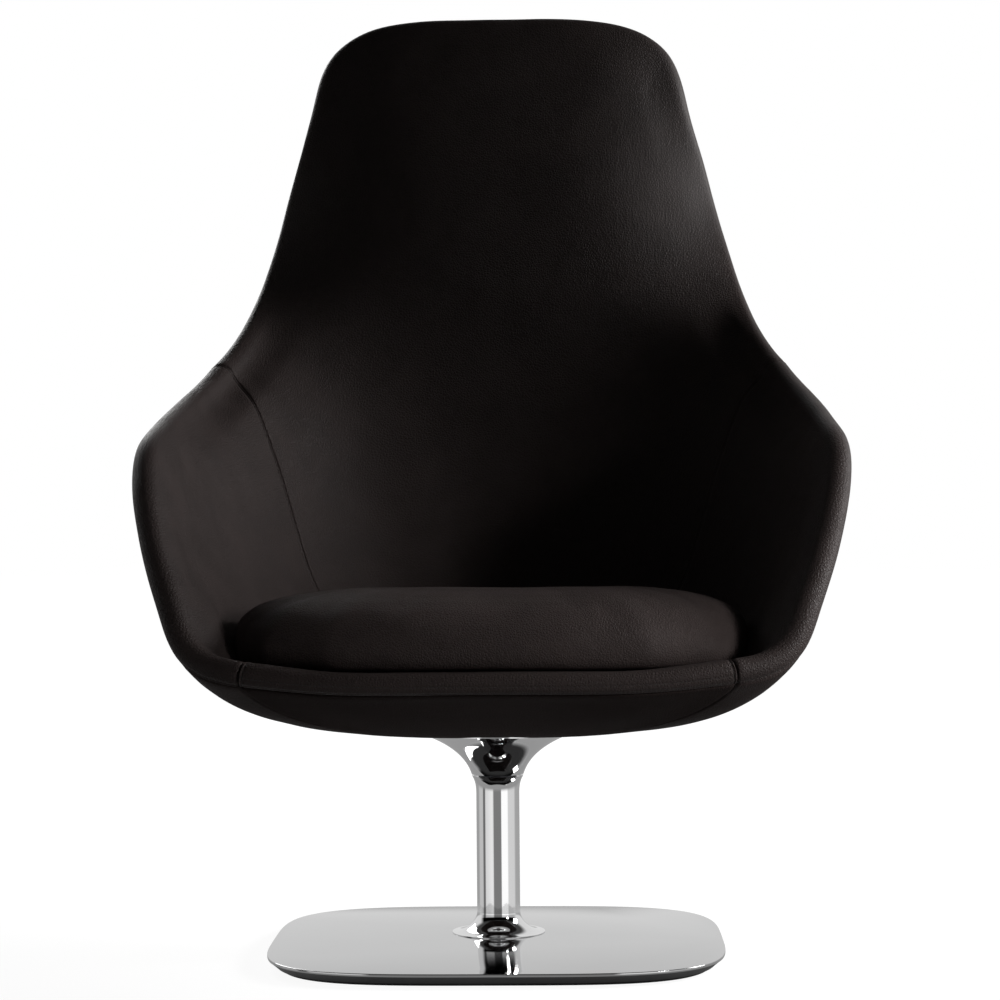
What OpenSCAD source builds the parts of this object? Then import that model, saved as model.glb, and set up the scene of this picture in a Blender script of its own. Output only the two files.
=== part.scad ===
// Swivel lounge chair: a padded bucket seat on a column with a flat base plate.
// Origin on the floor under the swivel axis, +Z up, the sitter faces -Y.
// Left and right are the sitter's, so the left arm is on +X.

/* [Seat outline] */
// Overall height, floor to the top of the back
back_h = 1077; // [1040:1:1120]
// How far the top of the back lies behind the swivel axis
back_reach = 356; // [330:1:380]
// Width over the upper corners of the back
back_w = 437; // [410:1:460]
// Width over the waist, halfway up the back
waist_w = 541; // [505:1:550]
// Height of the waist
waist_h = 810; // [780:1:830]
// Width where the arms run into the back
wing_w = 667; // [635:1:680]
// Height where the arms run into the back
wing_h = 648.5; // [635:0.5:665]
// Width over the front corners of the arms
arm_w = 744; // [720:1:770]
// Height of the arms at their front corners
arm_h = 550; // [530:1:565]
// How far the arm corners lie in front of the swivel axis
arm_reach = 150; // [130:1:165]
// Width of the front edge between its two short seams
front_w = 476; // [450:1:490]
// Height of the front edge
front_h = 322; // [316:1:330]
// How far the front edge lies in front of the swivel axis
front_reach = 371; // [360:1:385]

/* [Padded wall] */
// Thickness of the padded wall at the rim
rim_t = 28; // [27:0.5:34]
// Thickness of the padded wall at the front edge
front_t = 22; // [22:0.5:26]
// Thickness of the leather
leather_t = 1.6; // [1.2:0.1:1.8]
// Thickness of the foam behind the shell
back_foam_t = 6; // [4:0.5:6.5]
// Thickness of the moulded shell
shell_t = 5; // [4:0.5:5.5]
// Height of the shell's leather above the floor, under the seat
under_h = 235; // [230:1:240]
// Height of the deck under the cushion, at the swivel axis
deck_h = 304; // [299:1:308]
// Slope of the deck down towards the back, in degrees
deck_tilt = 3.5; // [3:0.1:4]
// Width of the gap that a seam leaves between two panels
seam_gap = 0.5; // [0.3:0.05:0.8]

/* [Seat cushion] */
// Width of the cushion
cushion_w = 560; // [530:1:570]
// Depth of the cushion
cushion_d = 470; // [440:1:476]
// Thickness of the cushion at its crown
cushion_t = 82; // [65:1:95]
// How far the cushion's front lies behind the front edge
cushion_setback = 24; // [20:1:40]

/* [Swivel head] */
// Radius of the head's flange under the seat
flange_r = 86; // [76:1:88]
// Height of the open joint between column and head
joint_gap = 1.5; // [1:0.1:1.8]
// Radius of the boss that carries the shell
boss_r = 56; // [52:1:58]
// Radius of the circle on which the seat bolts lie
seat_bolt_circle_r = 38; // [34:1:40]
// Radius of the mounting plate inside the seat
mount_plate_r = 75; // [66:1:76]
// Thickness of the mounting plate
mount_plate_t = 6; // [5:0.5:8]

/* [Column] */
// Height of the column's top edge above the floor
column_top_h = 186; // [180:1:190]
// Diameter of the column
column_d = 47.3; // [46:0.1:50]
// Radius of the column's upper lip
lip_r = 28.6; // [27.5:0.1:31]
// Radius of the column's foot
foot_r = 50.8; // [46:0.2:58]
// Height of the foot's flare
foot_h = 22; // [18:1:28]

/* [Bearing] */
// Diameter of the spindle
spindle_d = 25; // [22:0.5:26]
// Wall of the two bushes
bush_t = 3.5; // [2.5:0.1:4]
// Length of each bush
bush_l = 30; // [20:1:40]
// Outer diameter of the thrust bearing
thrust_d = 42; // [41:0.2:42.6]
// Diameter of the bearing balls
ball_d = 6; // [5:0.1:6.2]
// Number of bearing balls
ball_count = 12; // [8:1:12]
// Thickness of each bearing race
race_t = 3.5; // [3:0.1:4]

/* [Base plate] */
// Width of the base plate
plate_w = 490; // [460:1:540]
// Depth of the base plate
plate_d = 450; // [420:1:500]
// Thickness of the base plate
plate_t = 11; // [9:0.5:14]
// How far the plate reaches in front of its own middle past the column
plate_shift = 47; // [30:1:60]
// How far the bevel draws in the underside of the plate
plate_bevel = 13; // [8:1:18]
// Thickness of the pad between plate and floor
pad_t = 3; // [2:0.5:4]
// How far the pad stays inside the underside of the plate
pad_inset = 8; // [4:1:20]
// Radius of the circle on which the column bolts lie
column_bolt_circle_r = 12; // [11:0.5:13]

/* [Hidden] */

$fn = 96;
bolt_d = 8;               // all bolts are M8
bolt_head_r = 8;
bolt_head_h = 4.2;
bolt_play = 0.25;         // round a bolt in a clearance hole
thread_play = 0.02;       // between a thread and its tapped hole, both drawn plain
seat_play = 0.02;         // round a piece that is pressed into its seat
run_play = 0.05;          // round a shaft that turns
soft_play = 0.3;          // between soft layers
edge_play = 2.2;          // between the shell's upper edge and the foam that folds over it
clear = 0.3;              // round a piece that is dropped into place

plate_top_h = pad_t + plate_t;
column_r = column_d / 2;
spindle_r = spindle_d / 2;
bore_r = spindle_r + bush_t;

// Vectors and curves
function unit(v) = v / norm(v);
function bezier(p, t) =
  pow(1 - t, 3) * p[0] + 3 * pow(1 - t, 2) * t * p[1] + 3 * (1 - t) * t * t * p[2] + pow(t, 3) * p[3];
function bezier_heading(p, t) =
  unit(pow(1 - t, 2) * (p[1] - p[0]) + 2 * (1 - t) * t * (p[2] - p[1]) + t * t * (p[3] - p[2]));
function bezier_points(p, steps) = [for (k = [0:steps]) bezier(p, k / steps)];
function flip_x(p) = [-p[0], p[1], p[2]];

// The rim runs through these stations, on its middle line, from the middle of the front edge
// round the left side to the middle of the top. Each holds its place, its heading, the pull of
// the curve before and after it, and the shape of the wall below it. That shape is the way
// across the wall, the way along which the wall leaves the rim, how fast it grows thicker, the
// bearing of its foot, the pull of the outer face at rim and foot, the pull of the inner face at
// rim and foot, the slope of the underside, and the rim's thickness.
rim_half = rim_t / 2;
STATIONS = [
  [[0, front_t / 2 - front_reach, front_h - front_t / 2], [1, 0, 0], [0, 80],
   [0, 0.985, -0.17, 0, 0.985, -0.17, 0.13, -90, 100, 90, 130, 130, 3.5, front_t]],
  [[front_w / 2, 29 - front_reach, front_h - 2], [0.94, 0.28, 0.15], [78, 24],
   [-0.28, 0.9, -0.34, -0.28, 0.9, -0.34, 0.14, -62, 100, 160, 130, 160, 3.5, front_t + 2]],
  [[(front_w + arm_w) / 4 - 9, 56 - front_reach, front_h + 23], [0.45, 0.36, 0.82], [24, 60],
   [-0.52, 0.42, -0.74, -0.52, 0.42, -0.74, 0.08, -42, 80, 185, 90, 195, 4.5, rim_t - 1]],
  [[arm_w / 2 - rim_half, -arm_reach, arm_h - rim_half], [-0.02, 0.86, 0.5], [75, 45],
   [-0.32, 0.08, -0.94, -0.32, 0.08, -0.94, 0.02, -12, 215, 250, 212, 262, 8, rim_t]],
  [[wing_w / 2 - rim_half, 160, wing_h - rim_half], [-0.324, 0.812, 0.486], [100, 85],
   [-0.186, 0.476, -1.473, -0.27, -0.067, -0.17, 0, 34, 268, 276, 148, 280, 10, rim_t]],
  [[waist_w / 2 - rim_half, back_reach - 34, waist_h], [-0.233, 0.25, 0.94], [95, 75],
   [-0.792, 0.553, -0.384, -0.471, -0.406, -0.909, 0, 52, 379, 213, 304, 160, 11, rim_t]],
  [[back_w / 2 - rim_half, back_reach - 12, back_h - 70], [-0.244, 0.154, 0.957], [68, 18],
   [-1.023, 0.107, -0.264, -0.259, -0.218, -0.889, 0, 67, 382, 160, 324, 148, 11, rim_t]],
  [[back_w / 2 - 58, back_reach - 8, back_h - 26.5], [-0.945, -0.036, 0.325], [20, 50],
   [-0.317, -0.223, -0.925, -0.161, -0.254, -0.98, 0, 73, 428, 183, 419, 163, 11, rim_t]],
  [[0, back_reach - rim_half, back_h - rim_half], [-1, 0, 0], [60, 0],
   [0, -0.2, -0.98, 0, -0.2, -0.98, 0, 90, 465, 180, 480, 165, 11, rim_t]]
];

// The wall's shape between stations, as a smooth curve that carries on by symmetry
last_station = len(STATIONS) - 1;
function mirrored_shape(shape, bearing) =
  [for (k = [0:len(shape) - 1])
    k == 0 || k == 3 ? -shape[k] : k == 7 ? 2 * bearing - shape[k] : shape[k]];
function shape_at_station(k) =
  k < 0 ? mirrored_shape(STATIONS[1][3], -90)
  : k > last_station ? mirrored_shape(STATIONS[last_station - 1][3], 90)
  : STATIONS[k][3];
function wall_shape(k, f) =
  let (a = shape_at_station(k), b = shape_at_station(k + 1),
       before = (b - shape_at_station(k - 1)) / 2, after = (shape_at_station(k + 2) - a) / 2)
  (2 * pow(f, 3) - 3 * f * f + 1) * a + (pow(f, 3) - 2 * f * f + f) * before
  + (3 * f * f - 2 * pow(f, 3)) * b + (pow(f, 3) - f * f) * after;
function rim_curve(k) =
  let (a = STATIONS[k], b = STATIONS[k + 1])
  [a[0], a[0] + unit(a[1]) * a[2][1], b[0] - unit(b[1]) * b[2][0], b[0]];

// One section of the wall: up its outer face, over the rim and down its inner face to the deck
rows = 10;
nose = 6;
foot_ring_r = 88;
cover_hole_r = boss_r + 4;
well_r = seat_bolt_circle_r + bolt_head_r + 4;
function deck_z(y) = deck_h - tan(deck_tilt) * y;
function wall_section(k, f) =
  let (curve = rim_curve(k), middle = bezier(curve, f), heading = bezier_heading(curve, f),
       s = wall_shape(k, f), across = [s[0], s[1], s[2]], run = unit([s[3], s[4], s[5]]),
       out = unit(cross(across, heading)), up = cross(out, heading), half = s[13] / 2,
       ray = [cos(s[7]), sin(s[7])],
       outer = middle + out * half, inner = middle - out * half,
       outer_foot = [foot_ring_r * ray[0], foot_ring_r * ray[1], under_h],
       inner_foot = [well_r * ray[0], well_r * ray[1], deck_z(well_r * ray[1])],
       inner_pull = (well_r + s[11]) * ray,
       outer_face = [outer_foot, outer_foot + s[9] * [ray[0], ray[1], tan(s[12])],
                     outer + s[8] * (run + s[6] * out), outer],
       inner_face = [inner_foot, [inner_pull[0], inner_pull[1], deck_z(inner_pull[1])],
                     inner + s[10] * (run - s[6] * out), inner])
  concat([[cover_hole_r * ray[0], cover_hole_r * ray[1], under_h]],
         [for (j = [0:rows]) bezier(outer_face, j / rows)],
         [for (j = [1:nose - 1]) middle + half * (cos(180 * j / nose) * out + sin(180 * j / nose) * up)],
         [for (j = [rows:-1:0]) bezier(inner_face, j / rows)]);

// Places along a section
Q_HOLE = 0;
Q_RING = 1;
Q_SEAM = 1 + rows;
Q_INNER = Q_SEAM + nose;
Q_WELL = Q_INNER + rows;

STEPS = [3, 2, 5, 4, 4, 4, 3, 3];    // sections between one station and the next
I_FRONT = STEPS[0];                  // the short seams at the ends of the front edge
I_CORNER = I_FRONT + STEPS[1];       // the lower corners of the arms
I_WING = I_CORNER + STEPS[2] + STEPS[3];   // the seams where the arms run into the back
half_wall = concat(
  [for (k = [0:last_station - 1], j = [0:STEPS[k] - 1]) wall_section(k, j / STEPS[k])],
  [wall_section(last_station - 1, 1)]);
half_count = len(half_wall) - 1;
ring_count = 2 * half_count;
drawn_wall = [for (i = [0:ring_count - 1])
  i <= half_count ? half_wall[i] : [for (p = half_wall[ring_count - i]) flip_x(p)]];

// From the arms to the back the sections are evened out against the ones beside them,
// most in the middle between rim and foot
evening_passes = 14;
function evening(i, q) =
  let (row = q <= Q_SEAM ? q - Q_RING : Q_WELL - q, side = min(i, ring_count - i))
  (q > Q_SEAM && q < Q_INNER) || row <= 0 ? 0
  : 0.5 * max(sin(180 * row / rows), 0) * max(min((side - I_CORNER) / (I_WING - I_CORNER), 1), 0);
function evened(sections, passes) = passes == 0 ? sections
  : evened([for (i = [0:ring_count - 1]) [for (q = [0:Q_WELL]) let (share = evening(i, q))
      (1 - share) * sections[i][q] + share / 2 * (sections[wrap(i - 1)][q] + sections[wrap(i + 1)][q])]],
      passes - 1);
function wrap(i) = (i + ring_count) % ring_count;
wall = evened(drawn_wall, evening_passes);

// The way into the padding at each place, and a point at a given depth under the surface
function depth_heading(section, q) =
  q == Q_HOLE ? [0, 0, 1]
  : q == Q_RING ? let (v = section[Q_WELL] - section[q]) v / v[2]
  : q <= Q_SEAM ? unit(section[Q_WELL + 1 - q] - section[q])
  : q < Q_INNER ? unit((section[Q_SEAM] + section[Q_INNER]) / 2 - section[q])
  : unit(section[Q_WELL + 1 - q] - section[q]);
depths = [for (section = wall) [for (q = [0:Q_WELL]) depth_heading(section, q)]];
function at(i, q, depth) = wall[wrap(i)][q] + depth * depths[wrap(i)][q];

// A point moved a little towards its neighbours, where a panel stops short of a seam
function near(i, q, depth, di, dq, by = seam_gap / 2) =
  at(i, q, depth)
  + (di == 0 ? [0, 0, 0] : by * unit(at(i + di, q, depth) - at(i, q, depth)))
  + (dq == 0 ? [0, 0, 0] : by * unit(at(i, q + dq, depth) - at(i, q, depth)));

// Depths of the layers, from the outer surface inwards
under_leather = leather_t + soft_play;
shell_out = under_leather + back_foam_t + soft_play;
shell_in = shell_out + shell_t;
foam_in = shell_in + soft_play;
shell_face_h = under_h + shell_out;
mount_h = under_h + shell_in;

// Solids between sections that all have the same number of points. The first points of a
// section run away from the hole underneath and the others back again, and each square is cut
// along the same diagonal in both, so that layers lie on each other without a clash.
function square(a, b, c, d, other) = other ? [[a, b, d], [b, c, d]] : [[a, b, c], [a, c, d]];
function strip_faces(count, n, first, outward, closed) =
  [for (k = [0:count - (closed ? 1 : 2)], j = [0:n - 1])
    let (mirrored = wrap(first + k) >= half_count, next = (k + 1) % count * n, step = (j + 1) % n)
    each square(k * n + j, k * n + step, next + step, next + j, mirrored != (j >= outward))];
module ring_solid(sections, outward) {
  polyhedron([for (s = sections) each s],
    strip_faces(len(sections), len(sections[0]), 0, outward, true));
}
module strip_solid(sections, first) {
  n = len(sections[0]);
  m = n / 2;
  last = (len(sections) - 1) * n;
  polyhedron([for (s = sections) each s],
    concat(strip_faces(len(sections), n, first, m, false),
      [for (j = [0:m - 2]) each [[j + 1, j, n - 1 - j], [j + 1, n - 1 - j, n - 2 - j]]],
      [for (j = [0:m - 2]) each [[last + j, last + j + 1, last + n - 1 - j],
                                 [last + j + 1, last + n - 2 - j, last + n - 1 - j]]]));
}

// A layer of the wall all the way round, from the hole underneath to the rim seam
module outer_layer(from, to) {
  ring_solid([for (i = [0:ring_count - 1]) concat(
    [for (q = [Q_HOLE:Q_SEAM]) near(i, q, from, 0, q == Q_SEAM ? -1 : 0, edge_play)],
    [for (q = [Q_SEAM:-1:Q_HOLE]) near(i, q, to, 0, q == Q_SEAM ? -1 : 0, edge_play)])], Q_SEAM + 1);
}

// A leather panel between two stations and two places along the section, short of its seams
module panel(i_from, i_to, q_from, q_to) {
  strip_solid([for (i = [i_from:i_to]) let (di = i == i_from ? 1 : i == i_to ? -1 : 0) concat(
    [for (q = [q_from:q_to]) near(i, q, 0, di, panel_edge(q, q_from, q_to))],
    [for (q = [q_to:-1:q_from]) near(i, q, leather_t, di, panel_edge(q, q_from, q_to))])],
    i_from);
}
function panel_edge(q, q_from, q_to) = q == q_from && q > Q_HOLE ? 1 : q == q_to ? -1 : 0;

// The seam round the deck lies this many rows out from the well
DECK_ROWS = 2;
Q_DECK = Q_WELL - DECK_ROWS;

module outer_cover() color("#231a18") panel(I_FRONT, ring_count - I_FRONT, Q_HOLE, Q_SEAM);
module front_panel() color("#241b19") panel(-I_FRONT, I_FRONT, Q_HOLE, Q_SEAM);
module front_band() color("#261c1a") panel(-I_FRONT, I_FRONT, Q_SEAM, Q_DECK);
module arm_panel_left() color("#271d1b") panel(I_FRONT, I_WING, Q_SEAM, Q_DECK);
module arm_panel_right() color("#271d1b") panel(-I_WING, -I_FRONT, Q_SEAM, Q_DECK);
module back_panel() color("#251b19") panel(I_WING, ring_count - I_WING, Q_SEAM, Q_DECK);

// The deck closes the well over the seat bolts
module deck_panel() {
  n = 2 * (DECK_ROWS + 1);
  rings = [for (i = [0:ring_count - 1]) concat(
    [for (q = [Q_DECK:Q_WELL]) near(i, q, 0, 0, q == Q_DECK ? 1 : 0)],
    [for (q = [Q_WELL:-1:Q_DECK]) near(i, q, leather_t, 0, q == Q_DECK ? 1 : 0)])];
  upper = ring_count * n;
  lower = upper + 1;
  function next(i) = (i + 1) % ring_count * n;
  faces = [for (i = [0:ring_count - 1], j = [0:n - 1]) if (j != DECK_ROWS)
    let (step = (j + 1) % n)
    each square(i * n + j, i * n + step, next(i) + step, next(i) + j,
                (i >= half_count) != (j > DECK_ROWS))];
  lids = [for (i = [0:ring_count - 1])
    each [[i * n + DECK_ROWS, upper, next(i) + DECK_ROWS],
          [next(i) + DECK_ROWS + 1, lower, i * n + DECK_ROWS + 1]]];
  color("#15110f") polyhedron(
    concat([for (s = rings) each s], [[0, 0, deck_h], [0, 0, deck_h - leather_t]]),
    concat(faces, lids));
}

// Layers inside the wall
module back_foam() color("#8d8a80") outer_layer(under_leather, shell_out - soft_play);

module seat_shell() color("#3a3a3c") difference() {
  outer_layer(shell_out, shell_in);
  seat_bolt_places() cylinder(h = 4 * shell_t, r = bolt_d / 2 + bolt_play, center = true);
}

module seat_foam() color("#a7a191") difference() {
  ring_solid([for (i = [0:ring_count - 1]) concat(
    [for (q = [Q_HOLE + 1:Q_SEAM - 1]) at(i, q, foam_in)],
    [near(i, Q_SEAM, foam_in, 0, -1, edge_play), at(i, Q_SEAM, foam_in)],
    [for (q = [Q_SEAM:Q_WELL]) at(i, q, under_leather)],
    [well_edge(i)])], 2 * Q_WELL);
  translate([0, 0, mount_h - 1]) cylinder(h = mount_plate_t + 1 + clear, r = mount_plate_r + clear);
}
// The foam's well goes straight down to the shell
function well_edge(i) =
  let (p = at(i, Q_WELL, under_leather)) [p[0], p[1], mount_h + soft_play];

// Bolts, drawn plain: a countersunk head with a hex socket, and a shank
module countersunk_bolt(length) difference() {
  union() {
    cylinder(h = bolt_head_h, r1 = bolt_head_r, r2 = bolt_d / 2);
    cylinder(h = length, r = bolt_d / 2);
  }
  translate([0, 0, -1]) cylinder(h = 3.5, r = 2.9, $fn = 6);
}
module countersunk_hole(depth) {
  translate([0, 0, -0.01]) cylinder(h = bolt_head_h + bolt_play, r1 = bolt_head_r + bolt_play, r2 = bolt_d / 2);
  translate([0, 0, -1]) cylinder(h = depth + 2, r = bolt_d / 2 + bolt_play);
}
module around(count, radius, start = 45)
  for (k = [0:count - 1]) rotate([0, 0, start + 360 * k / count]) translate([radius, 0, 0]) children();
module seat_bolt_places() translate([0, 0, shell_face_h]) around(4, seat_bolt_circle_r) children();
module column_bolt_places() translate([0, 0, pad_t]) around(4, column_bolt_circle_r) children();

// Base: the plate's outline is a square with softly bowed sides and round corners
outline_power = 4.8;
outline_points = 64;
function bowed(v) = sign(v) * pow(abs(v), 2 / outline_power);
function plate_outline(inset) = [for (k = [0:outline_points - 1]) let (a = 360 * (k + 0.5) / outline_points)
  [(plate_w / 2 - inset) * bowed(cos(a)), (plate_d / 2 - inset) * bowed(sin(a)) - plate_shift]];

module floor_pad() color("#1c1c1c") difference() {
  linear_extrude(pad_t) polygon(plate_outline(plate_bevel + pad_inset));
  translate([0, 0, -1]) cylinder(h = pad_t + 2, r = column_bolt_circle_r + bolt_head_r + 5);
}

plate_land = 2.4;         // upright part of the plate's edge
plate_break = 0.6;        // broken upper edge
module base_plate() {
  levels = [[pad_t, plate_bevel], [plate_top_h - plate_break - plate_land, 0],
            [plate_top_h - plate_break, 0], [plate_top_h, plate_break]];
  n = outline_points;
  top = (len(levels) - 1) * n;
  color("#b9babb") difference() {
    polyhedron(
      [for (l = levels, p = plate_outline(l[1])) [p[0], p[1], l[0]]],
      concat(
        [[for (k = [0:n - 1]) k], [for (k = [n - 1:-1:0]) top + k]],
        [for (l = [0:len(levels) - 2], k = [0:n - 1])
          let (a = l * n + k, b = l * n + (k + 1) % n)
          each [[a, a + n, b + n], [a, b + n, b]]]));
    column_bolt_places() countersunk_hole(plate_t);
  }
}

column_bolt_l = plate_t + 14;
module column_bolts() color("#8f9194") column_bolt_places() countersunk_bolt(column_bolt_l);

// Column: one turned tube with a flared foot and a flared upper lip
foot_edge = 1;
foot_bore_r = bore_r + 4;
plug_h = 22;
keeper_t = 2.4;
ring_t = 1.7;
bush_foot_h = plate_top_h + plug_h + 8;
groove_depth = 1;
thrust_h = 2 * race_t + ball_d - 2 * groove_depth;
bearing_seat_h = column_top_h + joint_gap / 2 - thrust_h / 2;
function foot_flare(steps) = [for (k = [0:steps]) let (a = 90 * k / steps)
  [foot_r - (foot_r - column_r) * sin(a), plate_top_h + foot_edge + foot_h * (1 - cos(a))]];
function lip_flare(steps) = bezier_points(
  [[column_r, column_top_h - 20], [column_r, column_top_h - 10],
   [column_r + 0.37 * (lip_r - column_r), column_top_h - 4], [lip_r, column_top_h]], steps);

module column() color("#c9cacc") rotate_extrude() polygon(concat(
  [[foot_bore_r, plate_top_h], [foot_r, plate_top_h]], foot_flare(12), lip_flare(8),
  [[thrust_d / 2 + run_play, column_top_h], [thrust_d / 2 + run_play, bearing_seat_h],
   [bore_r + seat_play, bearing_seat_h], [bore_r + seat_play, bush_foot_h],
   [foot_bore_r, bush_foot_h]]));

module foot_plug() color("#77797c") difference() {
  translate([0, 0, plate_top_h]) cylinder(h = plug_h, r = foot_bore_r - seat_play);
  column_bolt_places() cylinder(h = column_bolt_l + 2, r = bolt_d / 2 + thread_play);
}

module tube(from, to, inner_r, outer_r) difference() {
  translate([0, 0, from]) cylinder(h = to - from, r = outer_r);
  translate([0, 0, from - 1]) cylinder(h = to - from + 2, r = inner_r);
}
module lower_bush() color("#ece8dc") tube(bush_foot_h, bush_foot_h + bush_l, spindle_r + run_play, bore_r);
module upper_bush() color("#ece8dc") tube(bearing_seat_h - bush_l, bearing_seat_h, spindle_r + run_play, bore_r);

// The spindle hangs in the bushes by a washer and a ring under the lower bush
ring_groove = 1.2;
keeper_top_h = bush_foot_h - clear;
ring_top_h = keeper_top_h - keeper_t - clear / 2;
spindle_foot_h = ring_top_h - ring_t - 2;
module keeper_washer() color("#8f9194")
  tube(keeper_top_h - keeper_t, keeper_top_h, spindle_r + run_play, foot_bore_r - 1);
module retaining_ring() color("#55575a")
  tube(ring_top_h - ring_t, ring_top_h, spindle_r - ring_groove + run_play, spindle_r + 2.6);

// Thrust bearing: two grooved races, a cage and its balls
ball_r = ball_d / 2;
ball_circle_r = (spindle_r + thrust_d / 2) / 2;
ball_h = bearing_seat_h + race_t - groove_depth + ball_r;
race_top_h = 2 * ball_h - bearing_seat_h;
module race(from) difference() {
  tube(from, from + race_t, spindle_r + run_play, thrust_d / 2);
  rotate_extrude() translate([ball_circle_r, ball_h]) circle(r = ball_r + run_play / 2);
}
module lower_race() color("#9a9c9f") race(bearing_seat_h);
module upper_race() color("#9a9c9f") race(race_top_h - race_t);
cage_t = ball_d * 0.45;
module ball_cage() color("#c8a24a") difference() {
  tube(ball_h - cage_t / 2, ball_h + cage_t / 2, spindle_r + 0.8, thrust_d / 2 - 0.5);
  around(ball_count, ball_circle_r, 0)
    translate([0, 0, ball_h]) cylinder(h = 2 * cage_t, r = ball_r + 2 * run_play, center = true);
}
module bearing_balls() color("#dcdde0")
  around(ball_count, ball_circle_r, 0) translate([0, 0, ball_h]) sphere(r = ball_r);

// Swivel head: a turned trumpet whose boss carries the moulded shell
head_foot_h = column_top_h + joint_gap;
flange_top_h = under_h - clear;
spindle_top_h = flange_top_h - 12;
function trumpet(steps) = bezier_points(
  [[lip_r, head_foot_h], [lip_r + 4.4, head_foot_h + 14],
   [lip_r + 17.4, head_foot_h + 32], [flange_r, flange_top_h - 1.2]], steps);
module swivel_head() color("#c9cacc") difference() {
  rotate_extrude() polygon(concat(
    [[thrust_d / 2 + run_play, head_foot_h]], trumpet(16),
    [[flange_r, flange_top_h], [boss_r, flange_top_h], [boss_r, shell_face_h],
     [screw_head_r + clear, shell_face_h], [screw_head_r + clear, screw_seat_h],
     [screw_d / 2 + bolt_play, screw_seat_h], [screw_d / 2 + bolt_play, spindle_top_h],
     [spindle_r + seat_play, spindle_top_h], [spindle_r + seat_play, race_top_h],
     [thrust_d / 2 + run_play, race_top_h]]));
  seat_bolt_places() translate([0, 0, -head_bolt_l + mount_plate_t + shell_t - 2])
    cylinder(h = head_bolt_l, r = bolt_d / 2 + thread_play);
}

screw_d = 10;
screw_head_r = 8;
screw_head_h = 6;
screw_l = 34;
screw_seat_h = shell_face_h - screw_head_h - 2;
module spindle() color("#8a8c90") difference() {
  translate([0, 0, spindle_foot_h]) cylinder(h = spindle_top_h - spindle_foot_h, r = spindle_r);
  tube(ring_top_h - ring_t - clear / 2, ring_top_h + clear / 2, spindle_r - ring_groove, spindle_r + 1);
  translate([0, 0, screw_seat_h - screw_l - 2]) cylinder(h = screw_l + 10, r = screw_d / 2 + thread_play);
}
module spindle_screw() color("#55575a") translate([0, 0, screw_seat_h]) difference() {
  union() {
    cylinder(h = screw_head_h, r = screw_head_r);
    translate([0, 0, -screw_l]) cylinder(h = screw_l, r = screw_d / 2);
  }
  translate([0, 0, screw_head_h - 4]) cylinder(h = 5, r = 4.6, $fn = 6);
}

head_bolt_l = mount_plate_t + shell_t + 18;
module head_bolts() color("#55575a") seat_bolt_places()
  translate([0, 0, mount_plate_t + shell_t]) rotate([180, 0, 0]) countersunk_bolt(head_bolt_l);
module mounting_plate() color("#77797c") difference() {
  translate([0, 0, mount_h]) cylinder(h = mount_plate_t, r = mount_plate_r);
  seat_bolt_places() translate([0, 0, mount_plate_t + shell_t]) rotate([180, 0, 0])
    countersunk_hole(mount_plate_t);
}

// Loose cushion: a straight front with round corners, narrower towards the back, crowned on
// top, with sides that draw in a little between the corners. Its underside follows the wall.
cushion_taper = 0.26;     // share of the width that is lost towards the back
cushion_draw = 3;         // how far each side draws in between its corners
cushion_corner = 3.2;     // power of its outline: 2 is an ellipse, more is squarer
cushion_roll = 0.93;       // outline level where the underside leaves the wall
cushion_play = 1.1;       // above the wall, which is flat between its points
cushion_front_y = cushion_setback - front_reach;
cushion_middle_y = cushion_front_y + cushion_d / 2;
function cushion_half_w(y) = let (v = (y - cushion_front_y) / cushion_d)
  cushion_w / 2 * (1 - cushion_taper * pow(max(v, 0), 1.6)) - cushion_draw * max(sin(180 * v), 0);
function cushion_half_d(x) =
  cushion_d / 2 - cushion_draw * max(cos(180 * x / cushion_w), 0);
function cushion_level(p) = pow(abs(p[0]) / cushion_half_w(p[1]), cushion_corner)
  + pow(abs(p[1] - cushion_middle_y) / cushion_half_d(p[0]), cushion_corner);

// A point on the inner face, a number of rows out from the well, and the row at which the
// section under the cushion reaches a given level of its outline
function on_inner_face(i, row) = let (j = min(floor(row), rows - 1), q = Q_WELL - j)
  wall[i][q] + (row - j) * (wall[i][q - 1] - wall[i][q]);
function row_at_level(i, level, low = 0, high = rows, left = 20) =
  let (middle = (low + high) / 2)
  left == 0 ? middle
  : cushion_level(on_inner_face(i, middle)) < level
    ? row_at_level(i, level, middle, high, left - 1) : row_at_level(i, level, low, middle, left - 1);

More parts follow.
